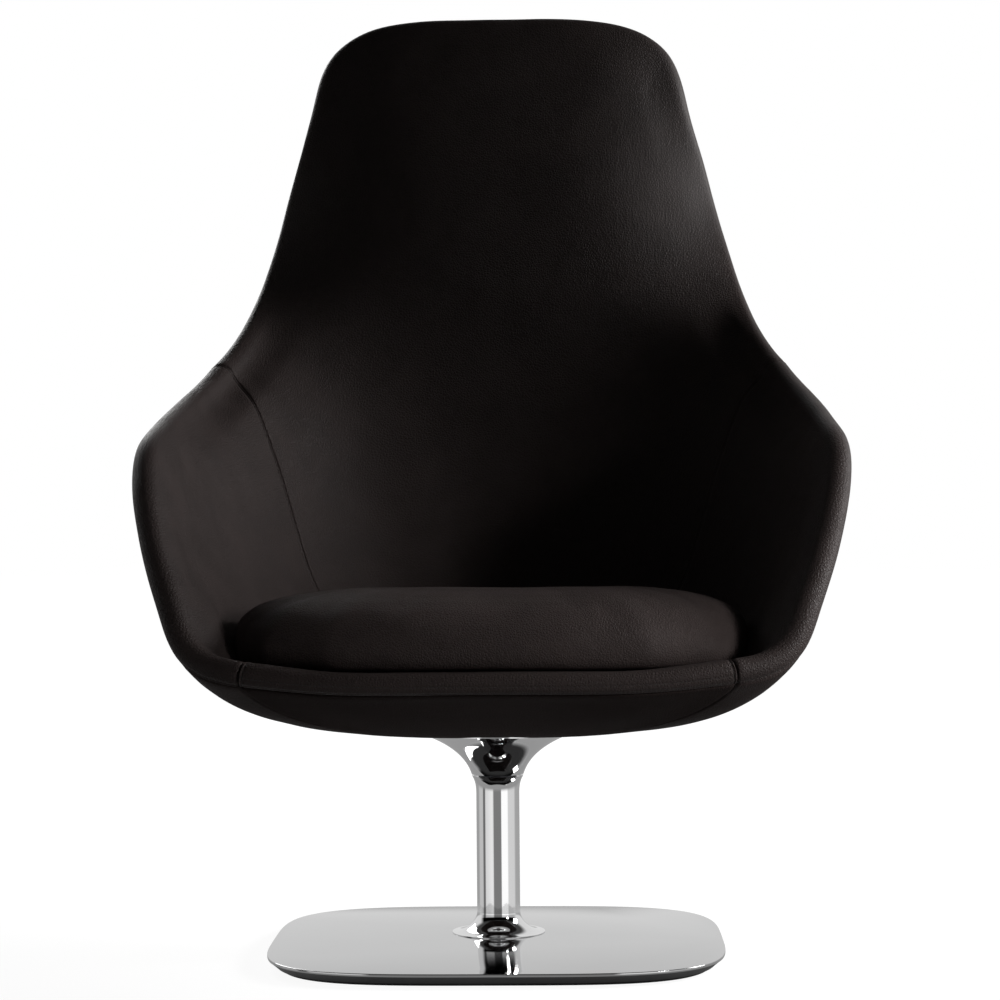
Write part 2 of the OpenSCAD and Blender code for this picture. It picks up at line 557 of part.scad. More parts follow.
// The cushion's edge and top: how far in from the outline, and the share of its thickness there
CUSHION_EDGE = [[2, 0.1], [0, 0.2], [1, 0.32], [5, 0.45], [12, 0.58], [24, 0.72], [42, 0.84],
                [66, 0.93], [100, 0.985], [150, 1]];
CUSHION_BED = [0, 0.3, 0.55, 0.8, 1];     // shares of the way out along the underside
module seat_cushion() {
  n = ring_count;
  columns = [for (i = [0:n - 1])
    let (bed_row = row_at_level(i, cushion_roll), edge = on_inner_face(i, row_at_level(i, 1)),
         foot = on_inner_face(i, bed_row)[2] + cushion_play,
         inwards = unit([-edge[0], cushion_middle_y - edge[1]]))
    concat(
      [for (u = CUSHION_BED) on_inner_face(i, u * bed_row) + [0, 0, cushion_play]],
      [for (e = CUSHION_EDGE) let (x = edge[0] + e[0] * inwards[0], y = edge[1] + e[0] * inwards[1])
        [x, y, foot + (deck_z(y) + cushion_t - foot) * e[1]]])];
  levels = len(columns[0]);
  points = [for (l = [0:levels - 1], i = [0:n - 1]) columns[i][l]];
  crown = [0, cushion_middle_y, deck_z(cushion_middle_y) + cushion_t];
  foot = levels * n;
  color("#2a201e") polyhedron(
    concat(points, [[0, 0, deck_h + cushion_play], crown]),
    concat(
      [for (l = [0:levels - 2], i = [0:n - 1]) let (a = l * n + i, b = l * n + (i + 1) % n)
        each square(a, a + n, b + n, b, i < half_count)],
      [for (i = [0:n - 1]) [i, (i + 1) % n, foot]],
      [for (i = [0:n - 1]) [(levels - 1) * n + (i + 1) % n, (levels - 1) * n + i, foot + 1]]));
}

floor_pad();
base_plate();
column_bolts();
foot_plug();
column();
lower_bush();
upper_bush();
keeper_washer();
retaining_ring();
lower_race();
ball_cage();
bearing_balls();
upper_race();
spindle();
spindle_screw();
swivel_head();
head_bolts();
mounting_plate();
seat_shell();
back_foam();
seat_foam();
outer_cover();
front_panel();
front_band();
arm_panel_left();
arm_panel_right();
back_panel();
deck_panel();
seat_cushion();
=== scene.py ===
import math

import bmesh
import bpy
import numpy as np
from mathutils import Matrix, Vector, noise


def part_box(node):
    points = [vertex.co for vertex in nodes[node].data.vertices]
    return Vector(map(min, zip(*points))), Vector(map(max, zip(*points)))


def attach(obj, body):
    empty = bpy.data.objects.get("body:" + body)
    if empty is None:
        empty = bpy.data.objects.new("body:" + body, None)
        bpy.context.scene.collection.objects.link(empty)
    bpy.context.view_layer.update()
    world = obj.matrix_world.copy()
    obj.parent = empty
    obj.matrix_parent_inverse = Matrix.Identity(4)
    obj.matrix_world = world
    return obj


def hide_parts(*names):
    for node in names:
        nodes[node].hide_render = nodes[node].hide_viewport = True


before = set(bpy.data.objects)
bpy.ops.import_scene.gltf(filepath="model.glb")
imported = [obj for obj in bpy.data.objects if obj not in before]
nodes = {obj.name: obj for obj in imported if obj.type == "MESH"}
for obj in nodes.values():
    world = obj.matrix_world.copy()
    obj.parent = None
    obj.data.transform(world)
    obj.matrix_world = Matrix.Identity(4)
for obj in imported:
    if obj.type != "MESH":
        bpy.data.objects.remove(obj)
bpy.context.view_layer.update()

scene = bpy.context.scene
mm = 0.001


print("camera")
camera = {
    "distance": 2.92,      # metres from the swivel axis
    "height": 0.488,
    "yaw": 1.5,            # degrees to the sitter's left
    "roll": 0.45,
    "sensor": 36,
    "picture": 1000,       # pixels
    "pixelsPerRadian": 2658,
    "centreColumn": 495.5,
}


def setCamera(c):
    data = bpy.data.cameras.new("photoCamera")
    data.sensor_width = c["sensor"]
    data.lens = c["sensor"] * c["pixelsPerRadian"] / c["picture"]
    data.shift_x = (c["picture"] / 2 - c["centreColumn"]) / c["picture"]
    data.clip_end = 60
    camObject = bpy.data.objects.new("photoCamera", data)
    scene.collection.objects.link(camObject)
    yaw = math.radians(c["yaw"])
    turn = (Matrix.Rotation(yaw, 4, "Z") @ Matrix.Rotation(math.radians(90), 4, "X")
            @ Matrix.Rotation(-math.radians(c["roll"]), 4, "Z"))
    place = Vector((c["distance"] * math.sin(yaw), -c["distance"] * math.cos(yaw), c["height"]))
    camObject.matrix_world = Matrix.Translation(place) @ turn
    scene.camera = camObject


setCamera(camera)


print("studio")
studio = {
    # what polished metal sees level with it: degrees from the camera, brightness
    "round": [(-180, 0.4), (-125, 0.4), (-113, 0.62), (-88, 0.62), (-83, 0.17), (-73, 0.17),
              (-68, 0.82), (-58, 0.86), (-32, 1.0), (-25, 0.9), (-21, 0.24), (17, 0.24),
              (21, 1.25), (53, 1.25), (58, 0.78), (97, 0.76), (108, 0.45), (180, 0.4)],
    "steep": (-0.2, -0.36),   # downwards, where the round gives way to the next value
    "below": 0.35,
    "horizon": (-0.03, 0.06),
    "bandFront": 0.6,         # share of the round that shows above the horizon on the camera's side
    "frontTop": (0.2, 0.3),
    "bandBack": 0.8,          # just above the horizon behind the chair
    "bandTop": (0.5, 0.7),
    "behind": (-0.1, 0.3),    # from the front half of the sky to the back half
    "ceiling": 0.06,
    "ambient": 0.02,          # on matt surfaces
    "floorHalf": 15,
    "floorDrop": 0.0006,
    "floorColour": 0.2,
    "floorSpread": 0.01,
    "floorGlow": 0.93,        # the part of the floor's white that no shadow takes away
    "glowReach": (0.7, 2.2),  # metres from the axis, where the rest of the white comes in
    "floorReach": (0.05, 0.2),    # metal sees the floor as far as this from the axis
}
lamps = [
    # name, place, aimed at, size, power, degrees of spread
    ("keyRight", (2.09, 0.31, 1.24), (0.0, 0.05, 0.6), (0.8, 0.9), 48, 180),
    ("seatRight", (1.76, -1.53, 0.89), (0.08, -0.22, 0.36), (0.4, 0.4), 0.45, 20),
    ("rearLeft", (-1.3, 2.3, 1.7), (0.0, 0.1, 0.6), (1.2, 1.2), 24, 180),
]


def feed(tree, node, inputs):  # inputs by name or number: a socket is linked, any other value is set
    for label, value in inputs.items():
        if isinstance(value, bpy.types.NodeSocket):
            tree.links.new(value, node.inputs[label])
        elif value is not None:
            node.inputs[label].default_value = value


def newNode(tree, kind, inputs=None, **settings):
    node = tree.nodes.new(kind)
    for name, value in settings.items():
        setattr(node, name, value)
    feed(tree, node, inputs or {})
    return node


def mathNode(tree, operation, a, b=None, c=None, clamp=False):
    return newNode(tree, "ShaderNodeMath", {0: a, 1: b, 2: c}, operation=operation, use_clamp=clamp).outputs[0]


def seenDirectly(tree, withGloss):
    path = newNode(tree, "ShaderNodeLightPath")
    seen = mathNode(tree, "MAXIMUM", path.outputs["Is Camera Ray"], path.outputs["Is Transmission Ray"])
    return mathNode(tree, "MAXIMUM", seen, path.outputs["Is Glossy Ray"]) if withGloss else seen


def smoothStep(tree, value, low, high, start=0.0, end=1.0):
    return newNode(tree, "ShaderNodeMapRange", {
        "Value": value, "From Min": low, "From Max": high, "To Min": start, "To Max": end},
        interpolation_type="SMOOTHSTEP").outputs[0]


def mixValue(tree, factor, a, b):
    return newNode(tree, "ShaderNodeMix", {"Factor": factor, "A": a, "B": b}, data_type="FLOAT").outputs[0]


def buildWorld(s):
    world = bpy.data.worlds.new("studioWorld")
    scene.world = world
    world.use_nodes = True
    tree = world.node_tree
    tree.nodes.clear()
    way = newNode(tree, "ShaderNodeSeparateXYZ", {0: newNode(tree, "ShaderNodeTexCoord").outputs["Generated"]})
    height = way.outputs["Z"]
    bearing = mathNode(tree, "ARCTAN2", way.outputs["X"], mathNode(tree, "MULTIPLY", way.outputs["Y"], -1.0))
    ramp = newNode(tree, "ShaderNodeValToRGB", {0: mathNode(tree, "MULTIPLY_ADD", bearing, 0.5 / math.pi, 0.5)})
    stops = ramp.color_ramp.elements
    while len(stops) < len(s["round"]):
        stops.new(0.5)
    for stop, (degrees, level) in zip(stops, s["round"]):
        stop.position = degrees / 360 + 0.5
        stop.color = (level, level, level, 1)
    around = ramp.outputs["Color"]
    back = smoothStep(tree, way.outputs["Y"], *s["behind"])
    fading = mixValue(tree, smoothStep(tree, height, *s["frontTop"]), around, 0.0)
    front = mathNode(tree, "MULTIPLY", fading, s["bandFront"])
    above = mixValue(tree, smoothStep(tree, height, *s["bandTop"]), mixValue(tree, back, front, s["bandBack"]),
                     s["ceiling"])
    level = mixValue(tree, smoothStep(tree, height, *s["steep"]), around, s["below"])
    shown = mixValue(tree, smoothStep(tree, height, *s["horizon"]), level, above)
    lit = mixValue(tree, newNode(tree, "ShaderNodeLightPath").outputs["Is Glossy Ray"], s["ambient"], shown)
    background = newNode(tree, "ShaderNodeBackground", {
        "Color": (1, 1, 1, 1), "Strength": mixValue(tree, seenDirectly(tree, False), lit, 1.0)})
    newNode(tree, "ShaderNodeOutputWorld", {0: background.outputs[0]})


def buildFloor(s):
    mesh = bpy.data.meshes.new("studioFloor")
    reach, drop = s["floorHalf"], -s["floorDrop"]
    corners = [(-reach, -reach, drop), (reach, -reach, drop), (reach, reach, drop), (-reach, reach, drop)]
    mesh.from_pydata(corners, [], [(0, 1, 2, 3)])
    floor = bpy.data.objects.new("studioFloor", mesh)
    scene.collection.objects.link(floor)
    paint = bpy.data.materials.new("sweepPaper")
    paint.use_nodes = True
    tree = paint.node_tree
    tree.nodes.clear()
    place = newNode(tree, "ShaderNodeTexCoord").outputs["Object"]
    grain = newNode(tree, "ShaderNodeTexNoise", {"Vector": place, "Scale": 9.0, "Detail": 3.0})
    tint = newNode(tree, "ShaderNodeMapRange", {
        "Value": grain.outputs["Fac"], "To Min": s["floorColour"] - s["floorSpread"],
        "To Max": s["floorColour"] + s["floorSpread"]})
    matt = newNode(tree, "ShaderNodeBsdfDiffuse", {"Color": tint.outputs[0]})
    away = newNode(tree, "ShaderNodeVectorMath", {0: place}, operation="LENGTH").outputs["Value"]
    glow = smoothStep(tree, away, *s["glowReach"], s["floorGlow"], 1.0)
    shine = newNode(tree, "ShaderNodeEmission", {
        "Strength": mathNode(tree, "MULTIPLY", glow, seenDirectly(tree, True))})
    both = newNode(tree, "ShaderNodeAddShader", {0: matt.outputs[0], 1: shine.outputs[0]})
    far = mathNode(tree, "MULTIPLY", smoothStep(tree, away, *s["floorReach"]),
                   newNode(tree, "ShaderNodeLightPath").outputs["Is Glossy Ray"])
    beyond = newNode(tree, "ShaderNodeMixShader", {
        0: far, 1: both.outputs[0], 2: newNode(tree, "ShaderNodeBsdfTransparent").outputs[0]})
    newNode(tree, "ShaderNodeOutputMaterial", {0: beyond.outputs[0]})
    mesh.materials.append(paint)


def hangLamps():
    for name, place, aim, size, power, spread in lamps:
        data = bpy.data.lights.new(name, "AREA")
        data.shape = "RECTANGLE"
        data.size, data.size_y = size
        data.energy = power
        data.spread = math.radians(spread)
        lamp = bpy.data.objects.new(name, data)
        lamp.location = place
        lamp.rotation_euler = (Vector(aim) - Vector(place)).to_track_quat("-Z", "Y").to_euler()
        scene.collection.objects.link(lamp)


scene.view_settings.view_transform = "Standard"
buildWorld(studio)
buildFloor(studio)
hangLamps()


print("materials")


socketKinds = {float: "NodeSocketFloat", int: "NodeSocketInt", tuple: "NodeSocketVector"}


def newGroup(name, inputs, outputs, kind="ShaderNodeTree"):  # an input has a first value or a kind of socket
    group = bpy.data.node_groups.new(name, kind)
    for label, value in inputs.items():
        if isinstance(value, str):
            group.interface.new_socket(name=label, in_out="INPUT", socket_type=value)
        else:
            socket = group.interface.new_socket(name=label, in_out="INPUT", socket_type=socketKinds[type(value)])
            socket.default_value = value
    for label, socketKind in outputs.items():
        group.interface.new_socket(name=label, in_out="OUTPUT", socket_type=socketKind)
    return group, group.nodes.new("NodeGroupInput").outputs, group.nodes.new("NodeGroupOutput")


grainForm = {
    "bendSize": 0.45, "fineSize": 2.7,    # against the pebbles
    "edge": 0.3, "fineDepth": 0.45,
    "patch": {"Scale": 21.0, "Detail": 3.0, "Roughness": 0.55},
}


def buildHideGrain(s):
    group, given, result = newGroup(
        "hideGrain", {"Vector": "NodeSocketVector", "Pebble": 0.0028, "Wander": 0.5},
        {"Height": "NodeSocketFloat", "Patch": "NodeSocketFloat"})
    place, pebble = given["Vector"], given["Pebble"]
    cells = mathNode(group, "DIVIDE", 1.0, pebble)
    bend = newNode(group, "ShaderNodeTexNoise", {
        "Vector": place, "Scale": mathNode(group, "MULTIPLY", cells, s["bendSize"]), "Detail": 2.0})
    centred = newNode(group, "ShaderNodeVectorMath", {0: bend.outputs["Color"], 1: (0.5, 0.5, 0.5)},
                      operation="SUBTRACT")
    scaled = newNode(group, "ShaderNodeVectorMath", {
        0: centred.outputs[0], "Scale": mathNode(group, "MULTIPLY", pebble, given["Wander"])}, operation="SCALE")
    moved = newNode(group, "ShaderNodeVectorMath", {0: place, 1: scaled.outputs[0]}, operation="ADD").outputs[0]
    edges = [newNode(group, "ShaderNodeTexVoronoi", {"Vector": moved, "Scale": size},
                     feature="DISTANCE_TO_EDGE").outputs["Distance"]
             for size in (cells, mathNode(group, "MULTIPLY", cells, s["fineSize"]))]
    domes = newNode(group, "ShaderNodeMapRange", {"Value": edges[0], "From Max": s["edge"]},
                    interpolation_type="SMOOTHERSTEP")
    patch = newNode(group, "ShaderNodeTexNoise", dict(s["patch"], Vector=place))
    feed(group, result, {
        "Height": mathNode(group, "MULTIPLY_ADD", edges[1], s["fineDepth"], domes.outputs[0]),
        "Patch": patch.outputs["Fac"]})
    return group


marksForm = {
    "smudge": {"Detail": 4.0, "Roughness": 0.6}, "smudgeShare": 0.65,
    "lines": {"Scale": 900.0, "Detail": 2.0}, "lineShare": 0.35,
    "contrast": (0.3, 0.7),
}


def buildHandling(s):
    group, given, result = newGroup(
        "handlingMarks",
        {"Vector": "NodeSocketVector", "Scale": 14.0, "Low": 0.1, "High": 0.2, "Streak": (1.0, 1.0, 1.0)},
        {"Roughness": "NodeSocketFloat", "Height": "NodeSocketFloat", "Mask": "NodeSocketFloat"})
    smudge = newNode(group, "ShaderNodeTexNoise", dict(s["smudge"], Vector=given["Vector"], Scale=given["Scale"]))
    stretched = newNode(group, "ShaderNodeVectorMath", {0: given["Vector"], 1: given["Streak"]},
                        operation="MULTIPLY")
    lines = newNode(group, "ShaderNodeTexNoise", dict(s["lines"], Vector=stretched.outputs[0]))
    mixed = mathNode(group, "MULTIPLY_ADD", lines.outputs["Fac"], s["lineShare"],
                     mathNode(group, "MULTIPLY", smudge.outputs["Fac"], s["smudgeShare"]))
    low, high = s["contrast"]
    rough = newNode(group, "ShaderNodeMapRange", {
        "Value": mixed, "From Min": low, "From Max": high, "To Min": given["Low"], "To Max": given["High"]})
    feed(group, result, {
        "Roughness": rough.outputs[0], "Height": lines.outputs["Fac"], "Mask": smudge.outputs["Fac"]})
    return group


hideGrain = buildHideGrain(grainForm)
handlingMarks = buildHandling(marksForm)


def newMaterial(name):
    material = bpy.data.materials.new(name)
    material.use_nodes = True
    tree = material.node_tree
    return material, tree, tree.nodes["Principled BSDF"], newNode(tree, "ShaderNodeTexCoord").outputs["Object"]


def colourBetween(tree, factor, low, high):
    return newNode(tree, "ShaderNodeMix", {"Factor": factor, "A": (*low, 1), "B": (*high, 1)},
                   data_type="RGBA").outputs["Result"]


def bumped(tree, height, depth, under=None):
    return newNode(tree, "ShaderNodeBump", {
        "Strength": 1.0, "Distance": depth, "Height": height, "Normal": under}).outputs[0]


def addCreases(tree, shader, place, under, s):  # fine folds and a rubbed shine, on one spot of the piece
    stretch = newNode(tree, "ShaderNodeMapping", {"Vector": place, "Scale": s["stretch"]})
    folds = newNode(tree, "ShaderNodeTexNoise", dict(s["folds"], Vector=stretch.outputs[0]))
    squash = newNode(tree, "ShaderNodeMapping", {"Vector": place, "Scale": s["reach"], "Location": s["middle"]})
    spot = newNode(tree, "ShaderNodeVectorMath", {0: squash.outputs[0]}, operation="DISTANCE")
    fade = smoothStep(tree, spot.outputs["Value"], *s["fade"])
    feed(tree, shader, {
        "Coat Weight": mathNode(tree, "MULTIPLY", fade, s["shine"]), "Coat Roughness": s["shineRough"]})
    return bumped(tree, mathNode(tree, "MULTIPLY", folds.outputs["Fac"], fade), s["depth"], under)


def hideMaterial(name, s):
    material, tree, shader, place = newMaterial(name)
    grain = newNode(tree, "ShaderNodeGroup", {"Vector": place, "Pebble": s["pebble"]},
                    node_tree=hideGrain).outputs
    wear = newNode(tree, "ShaderNodeAttribute", attribute_name="wear").outputs["Fac"]
    cloudy = mathNode(tree, "MULTIPLY", grain["Patch"], s["cloudyTone"])
    tone = mathNode(tree, "MULTIPLY_ADD", wear, s["wornTone"], cloudy, clamp=True)
    rough = mathNode(tree, "MULTIPLY_ADD", grain["Patch"], s["roughSpread"], s["rough"])
    surface = bumped(tree, grain["Height"], s["grainDepth"])
    if "creases" in s:
        surface = addCreases(tree, shader, place, surface, s["creases"])
    feed(tree, shader, {
        "Base Color": colourBetween(tree, tone, s["deep"], s["worn"]), "Specular IOR Level": s["gloss"],
        "Roughness": mathNode(tree, "MULTIPLY_ADD", wear, -s["polish"], rough, clamp=True), "Normal": surface})
    return material


def metalMaterial(name, s):  # also the under bevel's painted shade, plastic, rubber and thread, where "metallic" is low
    material, tree, shader, place = newMaterial(name)
    marks = newNode(tree, "ShaderNodeGroup", {
        "Vector": place, "Scale": s["scale"], "Low": s["low"], "High": s["high"], "Streak": s.get("streak")},
        node_tree=handlingMarks).outputs
    feed(tree, shader, {
        "Base Color": colourBetween(tree, marks["Mask"], s["dark"], s["light"]),
        "Roughness": marks["Roughness"], "Metallic": s.get("metallic", 1.0),
        "Normal": bumped(tree, marks["Height"], s.get("depth", 0.000002))})
    return material


def foamMaterial(name, s):
    material, tree, shader, place = newMaterial(name)
    cells = newNode(tree, "ShaderNodeTexVoronoi", {"Vector": place, "Scale": 1 / s["cell"]}).outputs["Distance"]
    cloudy = newNode(tree, "ShaderNodeTexNoise", dict(s["clouds"], Vector=place))
    feed(tree, shader, {
        "Base Color": colourBetween(tree, cells, s["dark"], s["light"]),
        "Roughness": mathNode(tree, "MULTIPLY_ADD", cloudy.outputs["Fac"], s["roughSpread"], s["rough"]),
        "Normal": bumped(tree, cells, s["cell"] * s["depth"])})
    return material


def clothMaterial(name, s):
    material, tree, shader, place = newMaterial(name)
    waves = [newNode(tree, "ShaderNodeTexWave", {
        "Vector": place, "Scale": 1 / s["thread"] / s["waveRate"], "Distortion": s["waver"]},
        bands_direction=direction).outputs["Fac"] for direction in ("X", "Y")]
    weave = mathNode(tree, "MAXIMUM", *waves)
    feed(tree, shader, {
        "Base Color": colourBetween(tree, weave, s["dark"], s["light"]),
        "Roughness": mathNode(tree, "MULTIPLY_ADD", weave, s["roughSpread"], s["rough"]),
        "Normal": bumped(tree, weave, s["depth"])})
    return material


leather = {
    "deep": (0.022, 0.0168, 0.0159), "worn": (0.056, 0.0426, 0.0403), "wornTone": 0.55, "cloudyTone": 0.7,
    "pebble": 0.0031, "grainDepth": 0.00038, "rough": 0.46, "roughSpread": 0.2, "polish": 0.06, "gloss": 0.12,
}
backLeather = dict(leather, creases={
    "stretch": (230.0, 60.0, 9.0), "reach": (9.0, 2.6, 4.4), "middle": (-1.8, -0.8, -4.0), "fade": (1.0, 0.3),
    "folds": {"Scale": 1.0, "Detail": 2.0, "Distortion": 0.4}, "depth": 0.0004,
    "shine": 0.42, "shineRough": 0.52})   # rubbed smooth where a hand takes hold
outerLeather = dict(leather, gloss=0.06, rough=0.56)
underLeather = dict(leather, gloss=0.01, rough=0.6)
cushionLeather = dict(leather, deep=(0.033, 0.0252, 0.0239), worn=(0.082, 0.0624, 0.059), rough=0.48,
                      pebble=0.0028)
wallHide = hideMaterial("espressoHide", leather)
outerHide = hideMaterial("outerHide", outerLeather)
underHide = hideMaterial("underHide", underLeather)
backHide = hideMaterial("espressoHideCreased", backLeather)
cushionHide = hideMaterial("cushionHide", cushionLeather)
threadCoat = metalMaterial("waxedThread", {
    "dark": (0.004, 0.0035, 0.003), "light": (0.012, 0.010, 0.009), "scale": 300.0, "low": 0.45, "high": 0.7,
    "metallic": 0.0, "depth": 0.00002})
polished = metalMaterial("polishedCasting", {
    "dark": (0.76, 0.76, 0.765), "light": (0.82, 0.82, 0.82), "scale": 11.0, "low": 0.03, "high": 0.07})
satinPlate = metalMaterial("satinPlate", {
    "dark": (0.46, 0.46, 0.462), "light": (0.52, 0.52, 0.522), "scale": 4.0, "low": 0.03, "high": 0.07,
    "streak": (0.06, 1.0, 1.0), "depth": 0.000003})
# the plate's downward bevel: a near-black colour that is painted shade, not a finish of its own
bevelPaintedShade = metalMaterial("underPaint", {
    "dark": (0.022, 0.022, 0.023), "light": (0.035, 0.035, 0.036), "scale": 30.0, "low": 0.4, "high": 0.6,
    "metallic": 0.0})
turnedSteel = metalMaterial("turnedSteel", {
    "dark": (0.42, 0.42, 0.43), "light": (0.56, 0.56, 0.57), "scale": 60.0, "low": 0.18, "high": 0.36,
    "streak": (0.3, 0.3, 1.0)})
blackedSteel = metalMaterial("blackedSteel", {
    "dark": (0.05, 0.05, 0.055), "light": (0.1, 0.1, 0.11), "scale": 90.0, "low": 0.3, "high": 0.5,
    "metallic": 0.9})
zincSteel = metalMaterial("zincSteel", {
    "dark": (0.33, 0.34, 0.36), "light": (0.52, 0.53, 0.55), "scale": 120.0, "low": 0.25, "high": 0.45})
slidePlastic = metalMaterial("slidePlastic", {
    "dark": (0.66, 0.63, 0.55), "light": (0.76, 0.73, 0.66), "scale": 40.0, "low": 0.4, "high": 0.55,
    "metallic": 0.0, "depth": 0.00001})
ribbedRubber = metalMaterial("padRubber", {
    "dark": (0.012, 0.012, 0.012), "light": (0.028, 0.028, 0.028), "scale": 50.0, "low": 0.7, "high": 0.9,
    "metallic": 0.0, "depth": 0.00008})
shellPlastic = metalMaterial("shellPlastic", {
    "dark": (0.035, 0.035, 0.038), "light": (0.055, 0.055, 0.06), "scale": 35.0, "low": 0.45, "high": 0.6,
    "metallic": 0.0, "depth": 0.00004})
foam = {
    "dark": (0.42, 0.37, 0.27), "light": (0.62, 0.56, 0.43), "cell": 0.0014, "depth": 0.3,   # depth in cells
    "rough": 0.82, "roughSpread": 0.15, "clouds": {"Scale": 40.0, "Detail": 3.0},
}
seatFoamFill = foamMaterial("seatFoamFill", foam)
backFoamFill = foamMaterial("backFoamFill", dict(
    foam, dark=(0.24, 0.235, 0.21), light=(0.38, 0.37, 0.34), cell=0.0012))
deckCloth = clothMaterial("deckCloth", {
    "dark": (0.006, 0.005, 0.005), "light": (0.016, 0.014, 0.013), "thread": 0.0011, "waver": 0.4,
    "waveRate": 20,           # of the wave node, per unit of its scale
    "rough": 0.95, "roughSpread": -0.1, "depth": 0.0002})

keptNodes = {  # pieces that stay as the construction made them
    "column_bolts": zincSteel, "foot_plug": turnedSteel, "lower_bush": slidePlastic, "upper_bush": slidePlastic,
    "keeper_washer": zincSteel, "retaining_ring": blackedSteel, "lower_race": turnedSteel,
    "upper_race": turnedSteel, "ball_cage": blackedSteel, "bearing_balls": polished, "spindle": turnedSteel,
    "spindle_screw": blackedSteel, "head_bolts": blackedSteel, "mounting_plate": zincSteel,
    "seat_shell": shellPlastic,
}
for nodeName, material in keptNodes.items():
    for materialSlot in nodes[nodeName].material_slots:
        materialSlot.material = material


print("wall form")
seat = {  # millimetres, the same values as the construction
    "backHeight": 1077, "backReach": 356, "backWidth": 437, "waistWidth": 541, "waistHeight": 810,
    "wingWidth": 667, "wingHeight": 648.5, "armWidth": 744, "armHeight": 550, "armReach": 150,
    "frontWidth": 476, "frontHeight": 322, "frontReach": 371, "rim": 28, "frontRim": 22,
    "underHeight": 235, "deckHeight": 304, "deckTilt": 3.5, "footRing": 88, "coverHole": 60, "well": 50,
    "rows": 10, "nose": 6,                  # steps down a face, and over the rim
    "steps": [3, 2, 5, 4, 4, 4, 3, 3],      # sections from each station to the next
    "passes": 14, "evening": 0.5,           # how often, and how far, the rows are evened out
}
half = seat["rim"] / 2
# Each station has its place, heading, pull before and after, and the shape of the wall below: the way across
# the rim, the way down, bulge, bearing of the foot, pulls (outer, foot, inner, well), slope of the foot, rim
stations = [
    [[0, seat["frontRim"] / 2 - seat["frontReach"], seat["frontHeight"] - seat["frontRim"] / 2],
     [1, 0, 0], [0, 80],
     [0, 0.985, -0.17, 0, 0.985, -0.17, 0.13, -90, 100, 90, 130, 130, 3.5, seat["frontRim"]]],
    [[seat["frontWidth"] / 2, 29 - seat["frontReach"], seat["frontHeight"] - 2], [0.94, 0.28, 0.15], [78, 24],
     [-0.28, 0.9, -0.34, -0.28, 0.9, -0.34, 0.14, -62, 100, 160, 130, 160, 3.5, seat["frontRim"] + 2]],
    [[(seat["frontWidth"] + seat["armWidth"]) / 4 - 9, 56 - seat["frontReach"], seat["frontHeight"] + 23],
     [0.45, 0.36, 0.82], [24, 60],
     [-0.52, 0.42, -0.74, -0.52, 0.42, -0.74, 0.08, -42, 80, 185, 90, 195, 4.5, seat["rim"] - 1]],
    [[seat["armWidth"] / 2 - half, -seat["armReach"], seat["armHeight"] - half], [-0.02, 0.86, 0.5], [75, 45],
     [-0.32, 0.08, -0.94, -0.32, 0.08, -0.94, 0.02, -12, 215, 250, 212, 262, 8, seat["rim"]]],
    [[seat["wingWidth"] / 2 - half, 160, seat["wingHeight"] - half], [-0.324, 0.812, 0.486], [100, 85],
     [-0.186, 0.476, -1.473, -0.27, -0.067, -0.17, 0, 34, 268, 276, 148, 280, 10, seat["rim"]]],
    [[seat["waistWidth"] / 2 - half, seat["backReach"] - 34, seat["waistHeight"]],
     [-0.233, 0.25, 0.94], [95, 75],
     [-0.792, 0.553, -0.384, -0.471, -0.406, -0.909, 0, 52, 379, 213, 304, 160, 11, seat["rim"]]],
    [[seat["backWidth"] / 2 - half, seat["backReach"] - 12, seat["backHeight"] - 70],
     [-0.244, 0.154, 0.957], [68, 18],
     [-1.023, 0.107, -0.264, -0.259, -0.218, -0.889, 0, 67, 382, 160, 324, 148, 11, seat["rim"]]],
    [[seat["backWidth"] / 2 - 58, seat["backReach"] - 8, seat["backHeight"] - 26.5],
     [-0.945, -0.036, 0.325], [20, 50],
     [-0.317, -0.223, -0.925, -0.161, -0.254, -0.98, 0, 73, 428, 183, 419, 163, 11, seat["rim"]]],
    [[0, seat["backReach"] - half, seat["backHeight"] - half], [-1, 0, 0], [60, 0],
     [0, -0.2, -0.98, 0, -0.2, -0.98, 0, 90, 465, 180, 480, 165, 11, seat["rim"]]],
]
rimSeam = 1 + seat["rows"]                  # places along a section, from the cover's hole to the seat's deck
rimTip = rimSeam + seat["nose"] // 2
innerFace = rimSeam + seat["nose"]
wellEdge = innerFace + seat["rows"]
deckSeam = wellEdge - 2
frontSeam = seat["steps"][0]                # sections that carry a seam
cornerSection = frontSeam + seat["steps"][1]
wingSeam = cornerSection + seat["steps"][2] + seat["steps"][3]
halfCount = sum(seat["steps"])
ringCount = 2 * halfCount


def unit(v):
    return v / np.linalg.norm(v)


def bezier(p, t):
    return (1 - t) ** 3 * p[0] + 3 * (1 - t) ** 2 * t * p[1] + 3 * (1 - t) * t * t * p[2] + t ** 3 * p[3]


def deckZ(y):
    return seat["deckHeight"] - math.tan(math.radians(seat["deckTilt"])) * y


def shapeAt(k):
    last = len(stations) - 1
    if 0 <= k <= last:
        return np.array(stations[k][3], float)
    shape = np.array(stations[1 if k < 0 else last - 1][3], float)
    shape[[0, 3]] *= -1
    shape[7] = 2 * (-90 if k < 0 else 90) - shape[7]
    return shape


def hermite(p, q, a, b, f):  # from p to q, leaving with slope a and arriving with slope b
    return ((2 * f ** 3 - 3 * f * f + 1) * p + (f ** 3 - 2 * f * f + f) * a
            + (3 * f * f - 2 * f ** 3) * q + (f ** 3 - f * f) * b)


def wallShape(k, f):
    a, b = shapeAt(k), shapeAt(k + 1)
    return hermite(a, b, (b - shapeAt(k - 1)) / 2, (shapeAt(k + 2) - a) / 2, f)


